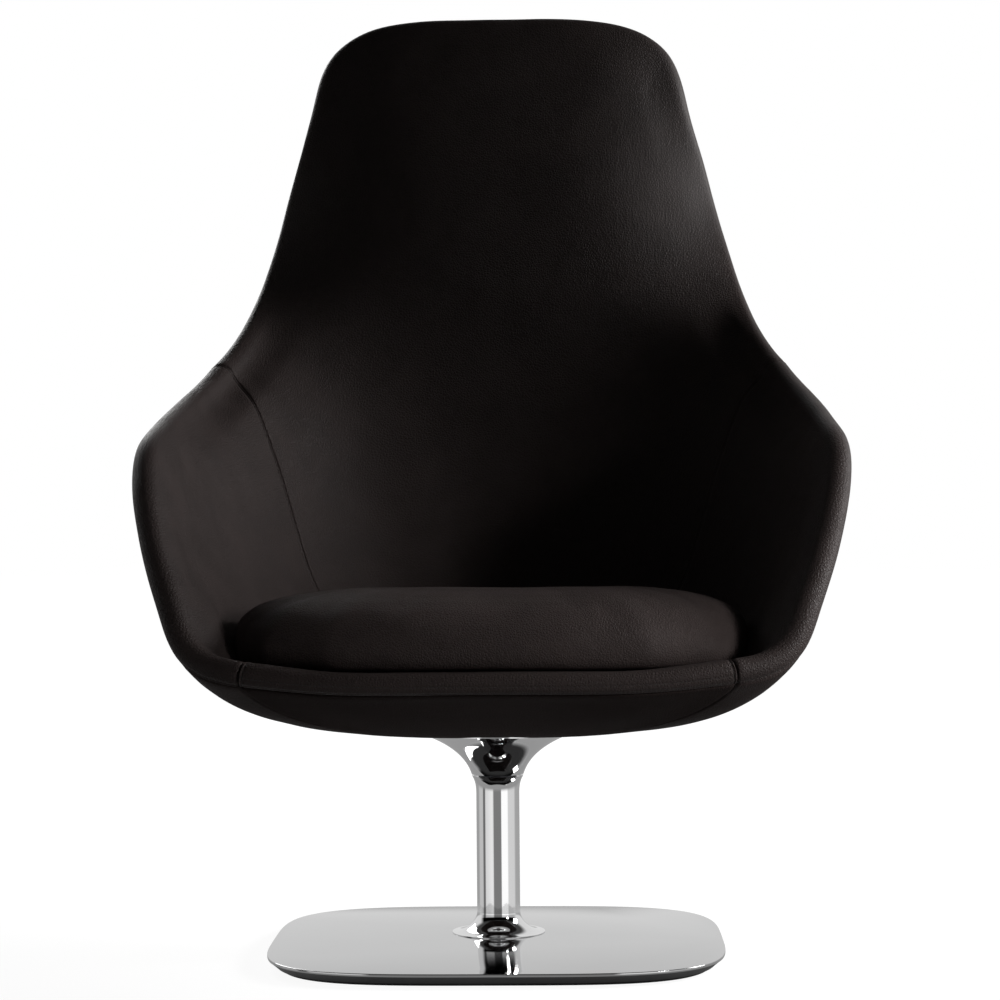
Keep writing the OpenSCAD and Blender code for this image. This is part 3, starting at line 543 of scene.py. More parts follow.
def wallSection(k, f):
    a, b = stations[k], stations[k + 1]
    p = [np.array(a[0], float), np.array(a[0]) + unit(np.array(a[1], float)) * a[2][1],
         np.array(b[0]) - unit(np.array(b[1], float)) * b[2][0], np.array(b[0], float)]
    middle = bezier(p, f)
    heading = unit((1 - f) ** 2 * (p[1] - p[0]) + 2 * (1 - f) * f * (p[2] - p[1]) + f * f * (p[3] - p[2]))
    shape = wallShape(k, f)
    lean, run = shape[0:3], unit(shape[3:6])
    bulge, bearing, outerPull, footPull, innerPull, wellPull, footSlope, rim = shape[6:]
    out = unit(np.cross(lean, heading))
    up = np.cross(out, heading)
    thick = rim / 2
    ray = np.array([math.cos(math.radians(bearing)), math.sin(math.radians(bearing)), 0])
    outer, inner = middle + out * thick, middle - out * thick
    outerFoot = seat["footRing"] * ray + [0, 0, seat["underHeight"]]
    innerFoot = seat["well"] * ray
    innerFoot[2] = deckZ(innerFoot[1])
    innerAim = (seat["well"] + wellPull) * ray
    innerAim[2] = deckZ(innerAim[1])
    outerFace = [outerFoot, outerFoot + footPull * (ray + [0, 0, math.tan(math.radians(footSlope))]),
                 outer + outerPull * (run + bulge * out), outer]
    innerSide = [innerFoot, innerAim, inner + innerPull * (run - bulge * out), inner]
    rows, nose = seat["rows"], seat["nose"]
    return np.array(
        [seat["coverHole"] * ray + [0, 0, seat["underHeight"]]]
        + [bezier(outerFace, j / rows) for j in range(rows + 1)]
        + [middle + thick * (math.cos(math.pi * j / nose) * out + math.sin(math.pi * j / nose) * up)
           for j in range(1, nose)]
        + [bezier(innerSide, j / rows) for j in range(rows, -1, -1)])


def wallGrid():
    sections = [wallSection(k, j / n) for k, n in enumerate(seat["steps"]) for j in range(n)]
    sections.append(wallSection(len(stations) - 2, 1))
    sections += [sections[ringCount - i] * [-1, 1, 1] for i in range(halfCount + 1, ringCount)]
    grid = np.array(sections)
    share = np.zeros((ringCount, wellEdge + 1, 1))
    for i in range(ringCount):
        reach = min(max((min(i, ringCount - i) - cornerSection) / (wingSeam - cornerSection), 0), 1)
        for q in range(wellEdge + 1):
            row = q - 1 if q <= rimSeam else wellEdge - q
            if row > 0 and not rimSeam < q < innerFace:
                share[i, q] = seat["evening"] * max(math.sin(math.pi * row / seat["rows"]), 0) * reach
    for _ in range(seat["passes"]):
        grid = (1 - share) * grid + share / 2 * (np.roll(grid, 1, 0) + np.roll(grid, -1, 0))
    return grid


def ringSlopes(points):  # slopes of the smooth closed curve through the points
    n = len(points)
    step = np.linalg.norm(np.roll(points, -1, 0) - points, axis=1)
    before = np.roll(step, 1)
    system = np.zeros((n, n))
    ahead, behind = np.roll(points, -1, 0) - points, points - np.roll(points, 1, 0)
    right = 3 * (behind / before[:, None] ** 2 + ahead / step[:, None] ** 2)
    for i in range(n):
        system[i, i - 1] = 1 / before[i]
        system[i, i] = 2 * (1 / before[i] + 1 / step[i])
        system[i, (i + 1) % n] = 1 / step[i]
    return np.linalg.solve(system, right), step


grid = wallGrid()
slopes = [ringSlopes(grid[:, q]) for q in range(wellEdge + 1)]


def columnAt(u):  # one section of the wall at any place round the ring
    i = math.floor(u + 1e-9)
    f = u - i
    i, j = i % ringCount, (i + 1) % ringCount
    return np.array([hermite(grid[i, q], grid[j, q], slopes[q][0][i] * slopes[q][1][i],
                             slopes[q][0][j] * slopes[q][1][i], f) for q in range(wellEdge + 1)])


# The upper back's padding is fullest in the middle and falls away evenly to the rim; millimetres
crown = {"forward": 12, "lower": (610, 740), "upper": (870, 1056), "curve": 3.2}
middleLine = grid[halfCount, innerFace:wellEdge + 1][::-1]
outerEdge = np.array([columnAt(u)[rimTip] for u in np.linspace(wingSeam - 2, halfCount, 60)])


def ease(value, low, high):
    t = np.clip((value - low) / (high - low), 0, 1)
    return t * t * (3 - 2 * t)


def crownShift(points):
    x, y, z = np.abs(points[..., 0]), points[..., 1], points[..., 2]
    middle = np.interp(z, middleLine[:, 2], middleLine[:, 1])
    edgeX, edgeY = (np.interp(z, outerEdge[:, 2], outerEdge[:, k]) for k in (0, 1))
    share = ease(z, *crown["lower"]) * (1 - ease(z, *crown["upper"]))
    front = middle - crown["forward"] * share
    return share * (front + (edgeY - front) * np.clip(x / np.maximum(edgeX, 1), 0, 1) ** crown["curve"] - y)


# The wall folds inwards along the seam between arm and back. The depth is in millimetres, the rest in sections
# and places: how far it reaches to each side, where it starts below the rim, and where it ends above the deck
fold = {"depth": 9, "reach": 1.8, "rows": (0.3, 2.4), "low": (5, 3)}


def foldShift(places, sections, fine):
    last = wellEdge * fine
    inner = np.arange(innerFace * fine, last + 1)
    way = sections[:, last + fine - inner] - sections[:, inner]
    way /= np.linalg.norm(way, axis=2, keepdims=True)
    away = np.minimum(np.abs(places - wingSeam), np.abs(places - (ringCount - wingSeam)))
    crease = (1 - np.clip(away / fold["reach"], 0, 1)) ** 2
    row = inner / fine
    share = ease(row, innerFace + fold["rows"][0], innerFace + fold["rows"][1])
    share = share * (1 - ease(row, wellEdge - fold["low"][0], wellEdge - fold["low"][1]))
    return fold["depth"] * crease[:, None, None] * share[None, :, None] * way


def fineSections(start, end, per, fine):
    columns = np.array([columnAt(start + k / per) for k in range(round((end - start) * per) + 1)])
    chord = np.linalg.norm(np.diff(columns, axis=1), axis=2)[..., None]
    lean = np.diff(columns, axis=1) / chord
    tangent = np.empty_like(columns)
    tangent[:, 0], tangent[:, -1] = lean[:, 0], lean[:, -1]
    before, after = chord[:, :-1], chord[:, 1:]
    tangent[:, 1:-1] = (after * lean[:, :-1] + before * lean[:, 1:]) / (after + before)
    pieces = [hermite(columns[:, :-1], columns[:, 1:], tangent[:, :-1] * chord, tangent[:, 1:] * chord, k / fine)
              for k in range(fine)]
    woven = np.stack(pieces, axis=2).reshape(len(columns), -1, 3)
    woven = np.concatenate([woven, columns[:, -1:]], axis=1)   # place q lies at index q * fine
    woven[:, rimTip * fine:, 1] += crownShift(woven[:, rimTip * fine:])
    places = np.array([start + k / per for k in range(len(columns))]) % ringCount
    woven[:, innerFace * fine:] += foldShift(places, woven, fine)
    return woven


def spread(line, targets):  # the line's points at the wanted distances along it
    length = np.concatenate([[0], np.cumsum(np.linalg.norm(np.diff(line, axis=0), axis=1))])
    return np.stack([np.interp(targets(length[-1]), length, line[:, k]) for k in range(3)], axis=1)


def targetsFor(edgeA, edgeB, count):  # fixed distances from both seams, and even ones between
    edgeA, edgeB = edgeA or [0], edgeB or [0]

    def places(length):
        middle = np.linspace(edgeA[-1], length - edgeB[-1], count)
        return np.concatenate([edgeA[:-1], middle, length - np.array(edgeB[:-1])[::-1]])
    return places


seams = {  # millimetres; the lists are the mesh's rows beside each kind of seam
    "plain": [0.25, 0.6, 1.0, 1.5, 2.1, 3.0, 4.1, 5.4, 7.5, 11],
    "lapped": [0.25, 0.6, 1.0, 1.5, 2.1, 2.9, 3.5, 4.1, 4.7, 5.5, 7.5, 11],
    "double": [0.25, 0.6, 1.0, 1.5, 2.3, 3.5, 4.8, 5.4, 6.0, 7.2, 9.0, 11.2, 12.3, 12.9, 13.5, 15, 18],
    "gap": 0.25, "valley": 2.8, "valleyWidth": 1.15, "puff": 0.8, "puffAt": 8,
    "lip": 0.9, "lipAt": 2.2, "lipWidth": 1.0, "groove": 0.75, "grooveWidth": 0.75, "bandGrooveWidth": 0.8,
    "stitchLine": 4.1, "bandLines": (5.4, 12.9), "thickness": 1.6, "swellFrom": 25,
    "wornLip": (0.75, 2.2, 1.6), "wornRim": (0.6, 14),   # how much, where, how wide
}


def bell(distance, width):
    return np.exp(-(distance / width) ** 2)


def seamRelief(s, kind):
    away = s / seams["puffAt"]
    sunk = seams["valley"] * np.exp(-(s / seams["valleyWidth"]) ** 1.5)
    relief = seams["puff"] * away * np.exp(1 - away) - sunk
    if kind == "lapped":
        relief += seams["lip"] * bell(s - seams["lipAt"], seams["lipWidth"])
        relief -= seams["groove"] * bell(s - seams["stitchLine"], seams["grooveWidth"])
    if kind == "double":
        for line in seams["bandLines"]:
            relief -= seams["groove"] * bell(s - line, seams["bandGrooveWidth"])
    return relief


def solidMesh(name, outer, inner, closed=False):
    nu, nv = outer.shape[:2]
    index = np.arange(nu * nv).reshape(nu, nv)
    if closed:
        index = np.vstack([index, index[:1]])
    n = nu * nv
    a, b, c, d = (v.ravel() for v in (index[:-1, :-1], index[1:, :-1], index[1:, 1:], index[:-1, 1:]))
    quads = [np.stack([a, b, c, d], 1), np.stack([d, c, b, a], 1) + n]
    for p, q in ((index[1:, 0], index[:-1, 0]), (index[:-1, -1], index[1:, -1])):
        quads.append(np.stack([p, q, q + n, p + n], 1))
    if not closed:
        for p, q in ((index[0, :-1], index[0, 1:]), (index[-1, 1:], index[-1, :-1])):
            quads.append(np.stack([p, q, q + n, p + n], 1))
    mesh = bpy.data.meshes.new(name)
    points = np.concatenate([outer.reshape(-1, 3), inner.reshape(-1, 3)]) * mm
    mesh.from_pydata(points.tolist(), [], np.concatenate(quads).tolist())
    return mesh


def outwards(surface):
    across, along = np.gradient(surface, axis=0), np.gradient(surface, axis=1)
    normal = np.cross(across, along)
    return normal / np.maximum(np.linalg.norm(normal, axis=2, keepdims=True), 1e-9)


def swell(points, size, seed):  # slow unevenness of the padding
    return np.array([noise.noise(Vector(p) / size + Vector((seed, 0, 0))) for p in points.reshape(-1, 3)]
                    ).reshape(points.shape[:2])


wallSteps = 20   # points of the fine wall from one section or place to the next


def panelFaces(s):
    (first, last), (low, high) = s["sections"], s["places"]
    dense = fineSections(first, last, wallSteps, wallSteps)[:, low * wallSteps:high * wallSteps + 1]
    edges = [seams.get(kind) for kind in s["edges"]]           # first and last section, first and last place
    across, along = targetsFor(edges[0], edges[1], s["count"][0]), targetsFor(edges[2], edges[3], s["count"][1])
    rowed = np.stack([spread(column, along) for column in dense])
    surface = np.stack([spread(rowed[:, j], across) for j in range(rowed.shape[1])], axis=1)
    lengthU = np.cumsum(np.linalg.norm(np.diff(surface, axis=0), axis=2), axis=0)
    lengthU = np.concatenate([np.zeros((1, surface.shape[1])), lengthU])
    lengthV = np.cumsum(np.linalg.norm(np.diff(surface, axis=1), axis=2), axis=1)
    lengthV = np.concatenate([np.zeros((surface.shape[0], 1)), lengthV], axis=1)
    away = [lengthU, lengthU[-1:] - lengthU, lengthV, lengthV[:, -1:] - lengthV]
    normal = outwards(surface) * wallSide
    relief, nearest = np.zeros(surface.shape[:2]), np.full(surface.shape[:2], 1e3)
    for distance, kind in zip(away, s["edges"]):
        if kind:
            relief += seamRelief(distance + seams["gap"], kind)
            nearest = np.minimum(nearest, distance)
    for size, depth in s["swell"]:
        relief += depth * swell(surface, size, s["seed"]) * np.clip(nearest / seams["swellFrom"], 0, 1)
    face = surface + normal * relief[..., None]
    amount, lip, width = seams["wornLip"]
    wear = amount * bell(nearest - lip, width)
    if "rimAt" in s:
        amount, width = seams["wornRim"]
        wear = np.maximum(wear, amount * bell(lengthV - s["rimAt"], width))
    return face, face - normal * seams["thickness"], wear


probe = fineSections(halfCount - 1, halfCount + 1, 1, 1)
wallSide = math.copysign(1.0, outwards(probe)[1, rimSeam - 4][1])      # the back's outer face looks to the rear


def addPiece(name, mesh, material):
    piece = bpy.data.objects.new(name, mesh)
    scene.collection.objects.link(piece)
    if material is not None:
        mesh.materials.clear()
        mesh.materials.append(material)
    return piece


touching = 1e-6   # metres


def cleaned(mesh, sharpOver=60):  # degrees
    work = bmesh.new()
    work.from_mesh(mesh)
    bmesh.ops.remove_doubles(work, verts=work.verts, dist=touching)
    if work.calc_volume(signed=True) < 0:
        bmesh.ops.reverse_faces(work, faces=work.faces)
    work.to_mesh(mesh)
    work.free()
    mesh.shade_smooth()
    mesh.set_sharp_from_angle(angle=math.radians(sharpOver))


def makePanel(name, s):
    face, back, wear = panelFaces(s)
    mesh = solidMesh(name, face, back)
    shade = mesh.attributes.new("wear", "FLOAT", "POINT")
    shade.data.foreach_set("value", np.concatenate([wear.ravel(), np.zeros(wear.size)]).astype(np.float32))
    cleaned(mesh)
    piece = addPiece(name, mesh, s["material"])
    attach(piece, "seat")
    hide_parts(s["stands"])
    seamPaths.extend(face[rows] for rows in s.get("stitches", []))


print("panels")
seamPaths = []
stitchAt = seams["lapped"].index(seams["stitchLine"])
bandLow, bandHigh = (seams["double"].index(v) for v in seams["bandLines"])
everyRow = slice(None)
firstRows = slice(0, 40)
panels = {
    # from and to: sections round the seat, places along a section; edges in the same order
    "outerCover": {
        "sections": (frontSeam, ringCount - frontSeam), "places": (0, rimSeam), "count": (330, 80),
        "edges": ("plain", "plain", None, "plain"), "swell": [(95, 1.0), (38, 0.35)], "seed": 3.1,
        "material": outerHide, "stands": "outer_cover"},
    "frontPanel": {
        "sections": (-frontSeam, frontSeam), "places": (0, rimSeam), "count": (80, 60),
        "edges": ("plain", "plain", None, "plain"), "swell": [(80, 0.8)], "seed": 5.7,
        "material": underHide, "stands": "front_panel"},
    "frontBand": {
        "sections": (-frontSeam, frontSeam), "places": (rimSeam, deckSeam), "count": (90, 46),
        "edges": ("lapped", "lapped", "double", None), "swell": [(60, 0.5)], "seed": 7.9, "rimAt": 18,
        "material": wallHide, "stands": "front_band",
        "stitches": [(everyRow, bandLow), (everyRow, bandHigh), (stitchAt, firstRows),
                     (-1 - stitchAt, firstRows)]},
    "armPanelLeft": {
        "sections": (frontSeam, wingSeam), "places": (rimSeam, deckSeam), "count": (100, 84),
        "edges": ("plain", "lapped", "lapped", None), "swell": [(85, 1.5), (34, 0.45)], "seed": 9.2, "rimAt": 22,
        "material": wallHide, "stands": "arm_panel_left",
        "stitches": [(everyRow, stitchAt), (-1 - stitchAt, everyRow)]},
    "armPanelRight": {
        "sections": (ringCount - wingSeam, ringCount - frontSeam), "places": (rimSeam, deckSeam),
        "count": (100, 84),
        "edges": ("lapped", "plain", "lapped", None), "swell": [(85, 1.5), (34, 0.45)], "seed": 12.4, "rimAt": 22,
        "material": wallHide, "stands": "arm_panel_right",
        "stitches": [(everyRow, stitchAt), (stitchAt, everyRow)]},
    "backPanel": {
        "sections": (wingSeam, ringCount - wingSeam), "places": (rimSeam, deckSeam), "count": (230, 130),
        "edges": ("plain", "plain", "lapped", None), "swell": [(110, 1.5), (42, 0.4)], "seed": 15.8, "rimAt": 22,
        "material": backHide, "stands": "back_panel", "stitches": [(everyRow, stitchAt)]},
}
for panelName, settings in panels.items():
    makePanel(panelName, settings)


print("padding")
layers = {  # depths in millimetres
    "underLeather": 4.2, "foamBack": 7.6, "foamIn": 13.6,
    "fine": 3,        # points from one section or place to the next
    "fill": 0.95,
}


def layerDepths(sections, fine):  # the way from each place towards the opposite face of the wall
    last = wellEdge * fine
    heads = np.zeros_like(sections)
    for k in range(sections.shape[1]):
        q = k / fine
        if q < 1:
            heads[:, k] = [0, 0, 1]
        elif q <= rimSeam or q >= innerFace:
            heads[:, k] = sections[:, last + fine - k] - sections[:, k]
        else:
            heads[:, k] = (sections[:, rimSeam * fine] + sections[:, innerFace * fine]) / 2 - sections[:, k]
    heads /= np.maximum(np.linalg.norm(heads, axis=2, keepdims=True), 1e-9)
    heads[:, fine] /= heads[:, fine, 2:3]      # the cover's foot goes straight up
    return heads


def ringMesh(name, sections):  # a closed tube of sections, the same number of points in each
    nu, nv = sections.shape[:2]
    index = np.arange(nu * nv).reshape(nu, nv)
    a, b = index, np.roll(index, -1, 0)
    quads = np.stack([a, b, np.roll(b, -1, 1), np.roll(a, -1, 1)], -1).reshape(-1, 4)
    mesh = bpy.data.meshes.new(name)
    mesh.from_pydata((sections.reshape(-1, 3) * mm).tolist(), [], quads.tolist())
    return mesh


def padding(s):
    fine = s["fine"]
    sections = fineSections(0, ringCount, fine, fine)[:-1]
    heads = layerDepths(sections, fine)
    seam, well, ring = rimSeam * fine, wellEdge * fine, fine

    skin = outwards(np.concatenate([sections[-2:], sections, sections[:2]]))[2:-2] * wallSide
    skin[:, :ring] = [0, 0, -1]
    skin[:, well - 1:] = [0, 0, 1]

    def layer(first, last, depth, way):
        return sections[:, first:last + 1] + depth * way[:, first:last + 1]

    stop = seam - 1
    backSheet = np.concatenate([layer(0, stop, s["underLeather"], -skin),
                                layer(0, stop, s["foamBack"], -skin)[:, ::-1]], axis=1)
    seatPad = np.concatenate([layer(ring, seam, s["foamIn"], heads),
                              layer(seam, well, s["underLeather"], -skin)], axis=1)
    wellFoot = seatPad[:, -1:].copy()
    wellFoot[..., 2] = seat["underHeight"] + s["foamIn"]
    seatPad = np.concatenate([seatPad, wellFoot], axis=1)
    for name, body, foam, stands in (("backFoam", backSheet, backFoamFill, "back_foam"),
                                     ("seatFoam", seatPad, seatFoamFill, "seat_foam")):
        mesh = ringMesh(name, body)
        cleaned(mesh, sharpOver=45)
        piece = addPiece(name, mesh, foam)
        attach(piece, "seat")
        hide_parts(stands)


padding(layers)


deckCover = {"sections": 3, "fine": 4, "rings": 5, "gap": 0.3, "relief": 0.6}   # gap in millimetres


def deck(s):
    fine = s["fine"]
    edge = fineSections(0, ringCount, s["sections"], fine)[:-1, deckSeam * fine:wellEdge * fine + 1]
    centre = np.array([0, 0, seat["deckHeight"]])
    shares = [k / s["rings"] for k in range(1, s["rings"] + 1)]
    surface = np.concatenate([edge] + [edge[:, -1:] * (1 - share) + centre * share for share in shares], axis=1)
    start = np.linalg.norm(surface - surface[:, :1], axis=2)
    surface[..., 2] += seamRelief(start + s["gap"], "plain") * s["relief"]
    inwards = surface[:, 1] - surface[:, 0]
    surface[:, 0] += s["gap"] * inwards / np.linalg.norm(inwards, axis=1, keepdims=True)
    mesh = solidMesh("deckPanel", surface, surface - np.array([0, 0, seams["thickness"]]), closed=True)
    cleaned(mesh)
    piece = addPiece("deckPanel", mesh, deckCloth)
    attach(piece, "seat")
    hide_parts("deck_panel")


deck(deckCover)


print("seat cushion")
cushion = {  # metres
    "voxel": 0.005, "smoothing": 10,
    "shrink": 0.0055,         # made smaller by this, then blown up again
    "heldBelow": 0.018, "heldOver": 0.03,    # the seam near the deck stays where it is,
    "facing": (2, 1.6),                      # and so do the faces that look down
    "loose": 0.98,            # nothing holds what is freer than this
    "frames": 20, "cap": 0.009,
    "follow": 0.3,            # a firm pad, only a little loose
    "cloth": {"quality": 6, "mass": 0.4, "use_pressure": True, "uniform_pressure_force": 2.2,
              "tension_stiffness": 18, "compression_stiffness": 12, "shear_stiffness": 8, "bending_stiffness": 2},
    "swell": [(0.13, 0.0016), (0.05, 0.0006)], "seed": (4.2, 1.3, 0),
    "foot": {"out": 0.008, "low": 0.004, "high": 0.05, "from": 0.13, "to": 0.24},   # widest where it rests
    "fill": 0.85,
}


def vectorsOf(items, key):
    values = np.empty(len(items) * 3, np.float32)
    items.foreach_get(key, values)
    return values.reshape(-1, 3)


def evaluatedMesh(obj):
    graph = bpy.context.evaluated_depsgraph_get()
    return bpy.data.meshes.new_from_object(obj.evaluated_get(graph), depsgraph=graph)


def evenCushion(s):  # the construction's cushion with an even mesh
    source = nodes["seat_cushion"].data.copy()
    work = bmesh.new()
    work.from_mesh(source)
    bmesh.ops.remove_doubles(work, verts=work.verts, dist=touching)
    bmesh.ops.recalc_face_normals(work, faces=work.faces)
    work.to_mesh(source)
    work.free()
    pad = addPiece("seatCushion", source, cushionHide)
    remesh = pad.modifiers.new("voxels", "REMESH")
    remesh.mode = "VOXEL"
    remesh.voxel_size = s["voxel"]
    remesh.use_smooth_shade = True
    even = pad.modifiers.new("even", "SMOOTH")
    even.factor = 0.5
    even.iterations = s["smoothing"]
    shaped = evaluatedMesh(pad)
    pad.modifiers.clear()
    pad.data = shaped
    return pad


def blownUp(pad, start, free, s):  # how far the air inside moves each vertex
    held = pad.vertex_groups.new(name="held")
    for k, weight in enumerate(free):
        if weight < s["loose"]:
            held.add([k], float(1 - weight), "REPLACE")
    cloth = pad.modifiers.new("cloth", "CLOTH")
    for label, value in s["cloth"].items():
        setattr(cloth.settings, label, value)
    cloth.settings.effector_weights.gravity = 0
    cloth.settings.vertex_group_mass = "held"
    cloth.collision_settings.use_collision = False
    cloth.point_cache.frame_start = 1
    cloth.point_cache.frame_end = s["frames"]
    for f in range(1, s["frames"] + 1):
        scene.frame_set(f)
    blown = evaluatedMesh(pad)
    way = vectorsOf(blown.vertices, "co") - start
    bpy.data.meshes.remove(blown)
    scene.frame_set(1)
    pad.modifiers.clear()
    pad.vertex_groups.clear()
    length = np.linalg.norm(way, axis=1, keepdims=True)
    print("cushion moved by", float(length.mean()), float(length.max()))
    return way * np.minimum(1, s["cap"] / np.maximum(length, 1e-9))


def makeCushion(s):
    pad = evenCushion(s)
    shaped = pad.data
    start, normals = vectorsOf(shaped.vertices, "co"), vectorsOf(shaped.vertex_normals, "vector")
    low = np.array([deckZ(y / mm) * mm for y in start[:, 1]])
    free = np.clip((start[:, 2] - low - s["heldBelow"]) / s["heldOver"], 0, 1)
    free = free * np.clip(normals[:, 2] * s["facing"][0] + s["facing"][1], 0, 1)
    moved = normals * s["shrink"] * free[:, None]
    start = start - moved
    shaped.vertices.foreach_set("co", start.ravel())
    moved = s["follow"] * blownUp(pad, start, free, s) + (1 - s["follow"]) * moved
    final = start + moved
    for size, depth in s["swell"]:
        ripple = np.array([noise.noise(Vector(p) / size + Vector(s["seed"])) for p in final])
        final = final + normals * (ripple * depth * free)[:, None]
    foot = s["foot"]
    share = 1 - ease(final[:, 2] - low, foot["low"], foot["high"])
    wider = foot["out"] * share * ease(np.abs(final[:, 0]), foot["from"], foot["to"])
    final[:, 0] += np.sign(final[:, 0]) * wider
    shaped.vertices.foreach_set("co", final.ravel())
    shaped.update()
    finer = pad.modifiers.new("finer", "SUBSURF")
    finer.levels = finer.render_levels = 1
    smooth = evaluatedMesh(pad)
    pad.modifiers.clear()
    pad.data = smooth
    smooth.name = "seatCushion"
    smooth.shade_smooth()
    smooth.attributes.new("wear", "FLOAT", "POINT")
    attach(pad, "seat")
    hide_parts("seat_cushion")


makeCushion(cushion)


print("stitching")
stitching = {"Pitch": 0.0042, "Length": 0.0031, "Thickness": 0.0009, "Lean": 0.1, "Seed": 4}   # metres, radians


def geometryTree(name, inputs):
    geometry = {"Geometry": "NodeSocketGeometry"}
    return newGroup(name, {**geometry, **inputs}, geometry, "GeometryNodeTree")


def coated(tree, geometry, material, result):  # the end of both trees
    real = newNode(tree, "GeometryNodeRealizeInstances", {0: geometry})
    smooth = newNode(tree, "GeometryNodeSetShadeSmooth", {"Geometry": real.outputs[0]})
    coat = newNode(tree, "GeometryNodeSetMaterial", {"Geometry": smooth.outputs[0], "Material": material})
    feed(tree, result, {0: coat.outputs[0]})
    return tree


def buildStitchTree():
    tree, given, result = geometryTree("saddleStitch", {
        "Pitch": 0.004, "Length": 0.003, "Thickness": 0.001, "Lean": 0.1, "Seed": 0,
        "Thread": "NodeSocketMaterial"})
    path = newNode(tree, "GeometryNodeMeshToCurve", {"Mesh": given["Geometry"]})
    even = newNode(tree, "GeometryNodeResampleCurve", {"Curve": path.outputs[0], "Length": given["Pitch"]},
                   mode="LENGTH")
    bead = newNode(tree, "GeometryNodeMeshUVSphere", {"Segments": 6, "Rings": 5, "Radius": 0.5})
    size = newNode(tree, "ShaderNodeCombineXYZ", {
        "X": given["Length"], "Y": given["Thickness"], "Z": given["Thickness"]})
    shaped = newNode(tree, "GeometryNodeTransform", {"Geometry": bead.outputs["Mesh"], "Scale": size.outputs[0]})
    tangent = newNode(tree, "GeometryNodeInputTangent")
    aim = newNode(tree, "FunctionNodeAlignRotationToVector", {"Vector": tangent.outputs[0]}, axis="X")
    least = mathNode(tree, "MULTIPLY", given["Lean"], -1.0)
    chance = newNode(tree, "FunctionNodeRandomValue", {2: least, 3: given["Lean"], "Seed": given["Seed"]},
                     data_type="FLOAT")       # 2 and 3 are a float's least and greatest value
    tip = newNode(tree, "FunctionNodeAxisAngleToRotation", {"Axis": (0, 0, 1), "Angle": chance.outputs[1]})
    leaning = newNode(tree, "FunctionNodeRotateRotation", {
        "Rotation": aim.outputs[0], "Rotate By": tip.outputs[0]}, rotation_space="LOCAL")
    sewn = newNode(tree, "GeometryNodeInstanceOnPoints", {
        "Points": even.outputs[0], "Instance": shaped.outputs[0], "Rotation": leaning.outputs[0]})
    return coated(tree, sewn.outputs[0], given["Thread"], result)


def runTree(piece, tree, values):
    modifier = piece.modifiers.new(tree.name, "NODES")
    modifier.node_group = tree
    for item in tree.interface.items_tree:
        if item.item_type == "SOCKET" and item.in_out == "INPUT" and item.name in values:
            modifier[item.identifier] = values[item.name]
    mesh = evaluatedMesh(piece)
    piece.modifiers.remove(modifier)
    piece.data = mesh


def oneMaterial(mesh, material):
    mesh.materials.clear()
    mesh.materials.append(material)
    mesh.polygons.foreach_set("material_index", np.zeros(len(mesh.polygons), np.int32))


def sewSeams(s):
    points, edges = [], []
    for path in seamPaths:
        first = len(points)
        points += (path * mm).tolist()
        edges += [(first + k, first + k + 1) for k in range(len(path) - 1)]
    mesh = bpy.data.meshes.new("stitchLines")
    mesh.from_pydata(points, edges, [])
    piece = addPiece("seamStitches", mesh, None)
    runTree(piece, buildStitchTree(), dict(s, Thread=threadCoat))
    piece.data.name = "seamStitches"
    oneMaterial(piece.data, threadCoat)
    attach(piece, "seat")


sewSeams(stitching)


print("metal parts")
base = {  # millimetres
    "plateWidth": 485, "plateDepth": 446, "plateShift": 40.5,
    "power": 3.8,             # of the bowed outline: 2 is an ellipse
    "points": 288, "padTop": 3, "plateTop": 14, "bevel": 9, "land": 2.4, "break": 0.6,
    "bevelFoot": (0.25, 0.1), "bevelEnd": ((-0.5, 0.8), (-0.1, 0.15), (0.4, 0.0)),    # height and inset
    "breakAngles": (0.35, 0.8, 1.25, math.pi / 2), "landEnd": 0.1, "shadePaintedBelow": 0.2,
    "padInset": 5, "padHole": 25,
    "bolts": 4, "boltCircle": 12, "boltHead": 8.25, "boltSeat": 4.45, "boltShank": 4.25, "drillSides": 32,
    "headFlat": 0.1, "drillBeyond": (0.5, 1),    # how far the drill reaches below the plate and above it
}


def plateOutline(s, inset):
    angles = (np.arange(s["points"]) + 0.5) * 2 * math.pi / s["points"]
    bowed = [np.sign(v) * np.abs(v) ** (2 / s["power"]) for v in (np.cos(angles), np.sin(angles))]
    return np.stack([(s["plateWidth"] / 2 - inset) * bowed[0],
                     (s["plateDepth"] / 2 - inset) * bowed[1] - s["plateShift"]], axis=1)


def stackedLoops(loops, closed=False):  # faces between loops of points, and over the ends if it isn't closed
    rows, n = (len(loops) if closed else len(loops) - 1), len(loops[0])
    faces = [] if closed else [list(range(n))[::-1], [rows * n + k for k in range(n)]]
    for row in range(rows):
        this, above = row * n, (row + 1) % len(loops) * n
        faces += [[this + k, this + (k + 1) % n, above + (k + 1) % n, above + k] for k in range(n)]
    return [(x * mm, y * mm, z * mm) for loop in loops for x, y, z in loop], [], faces


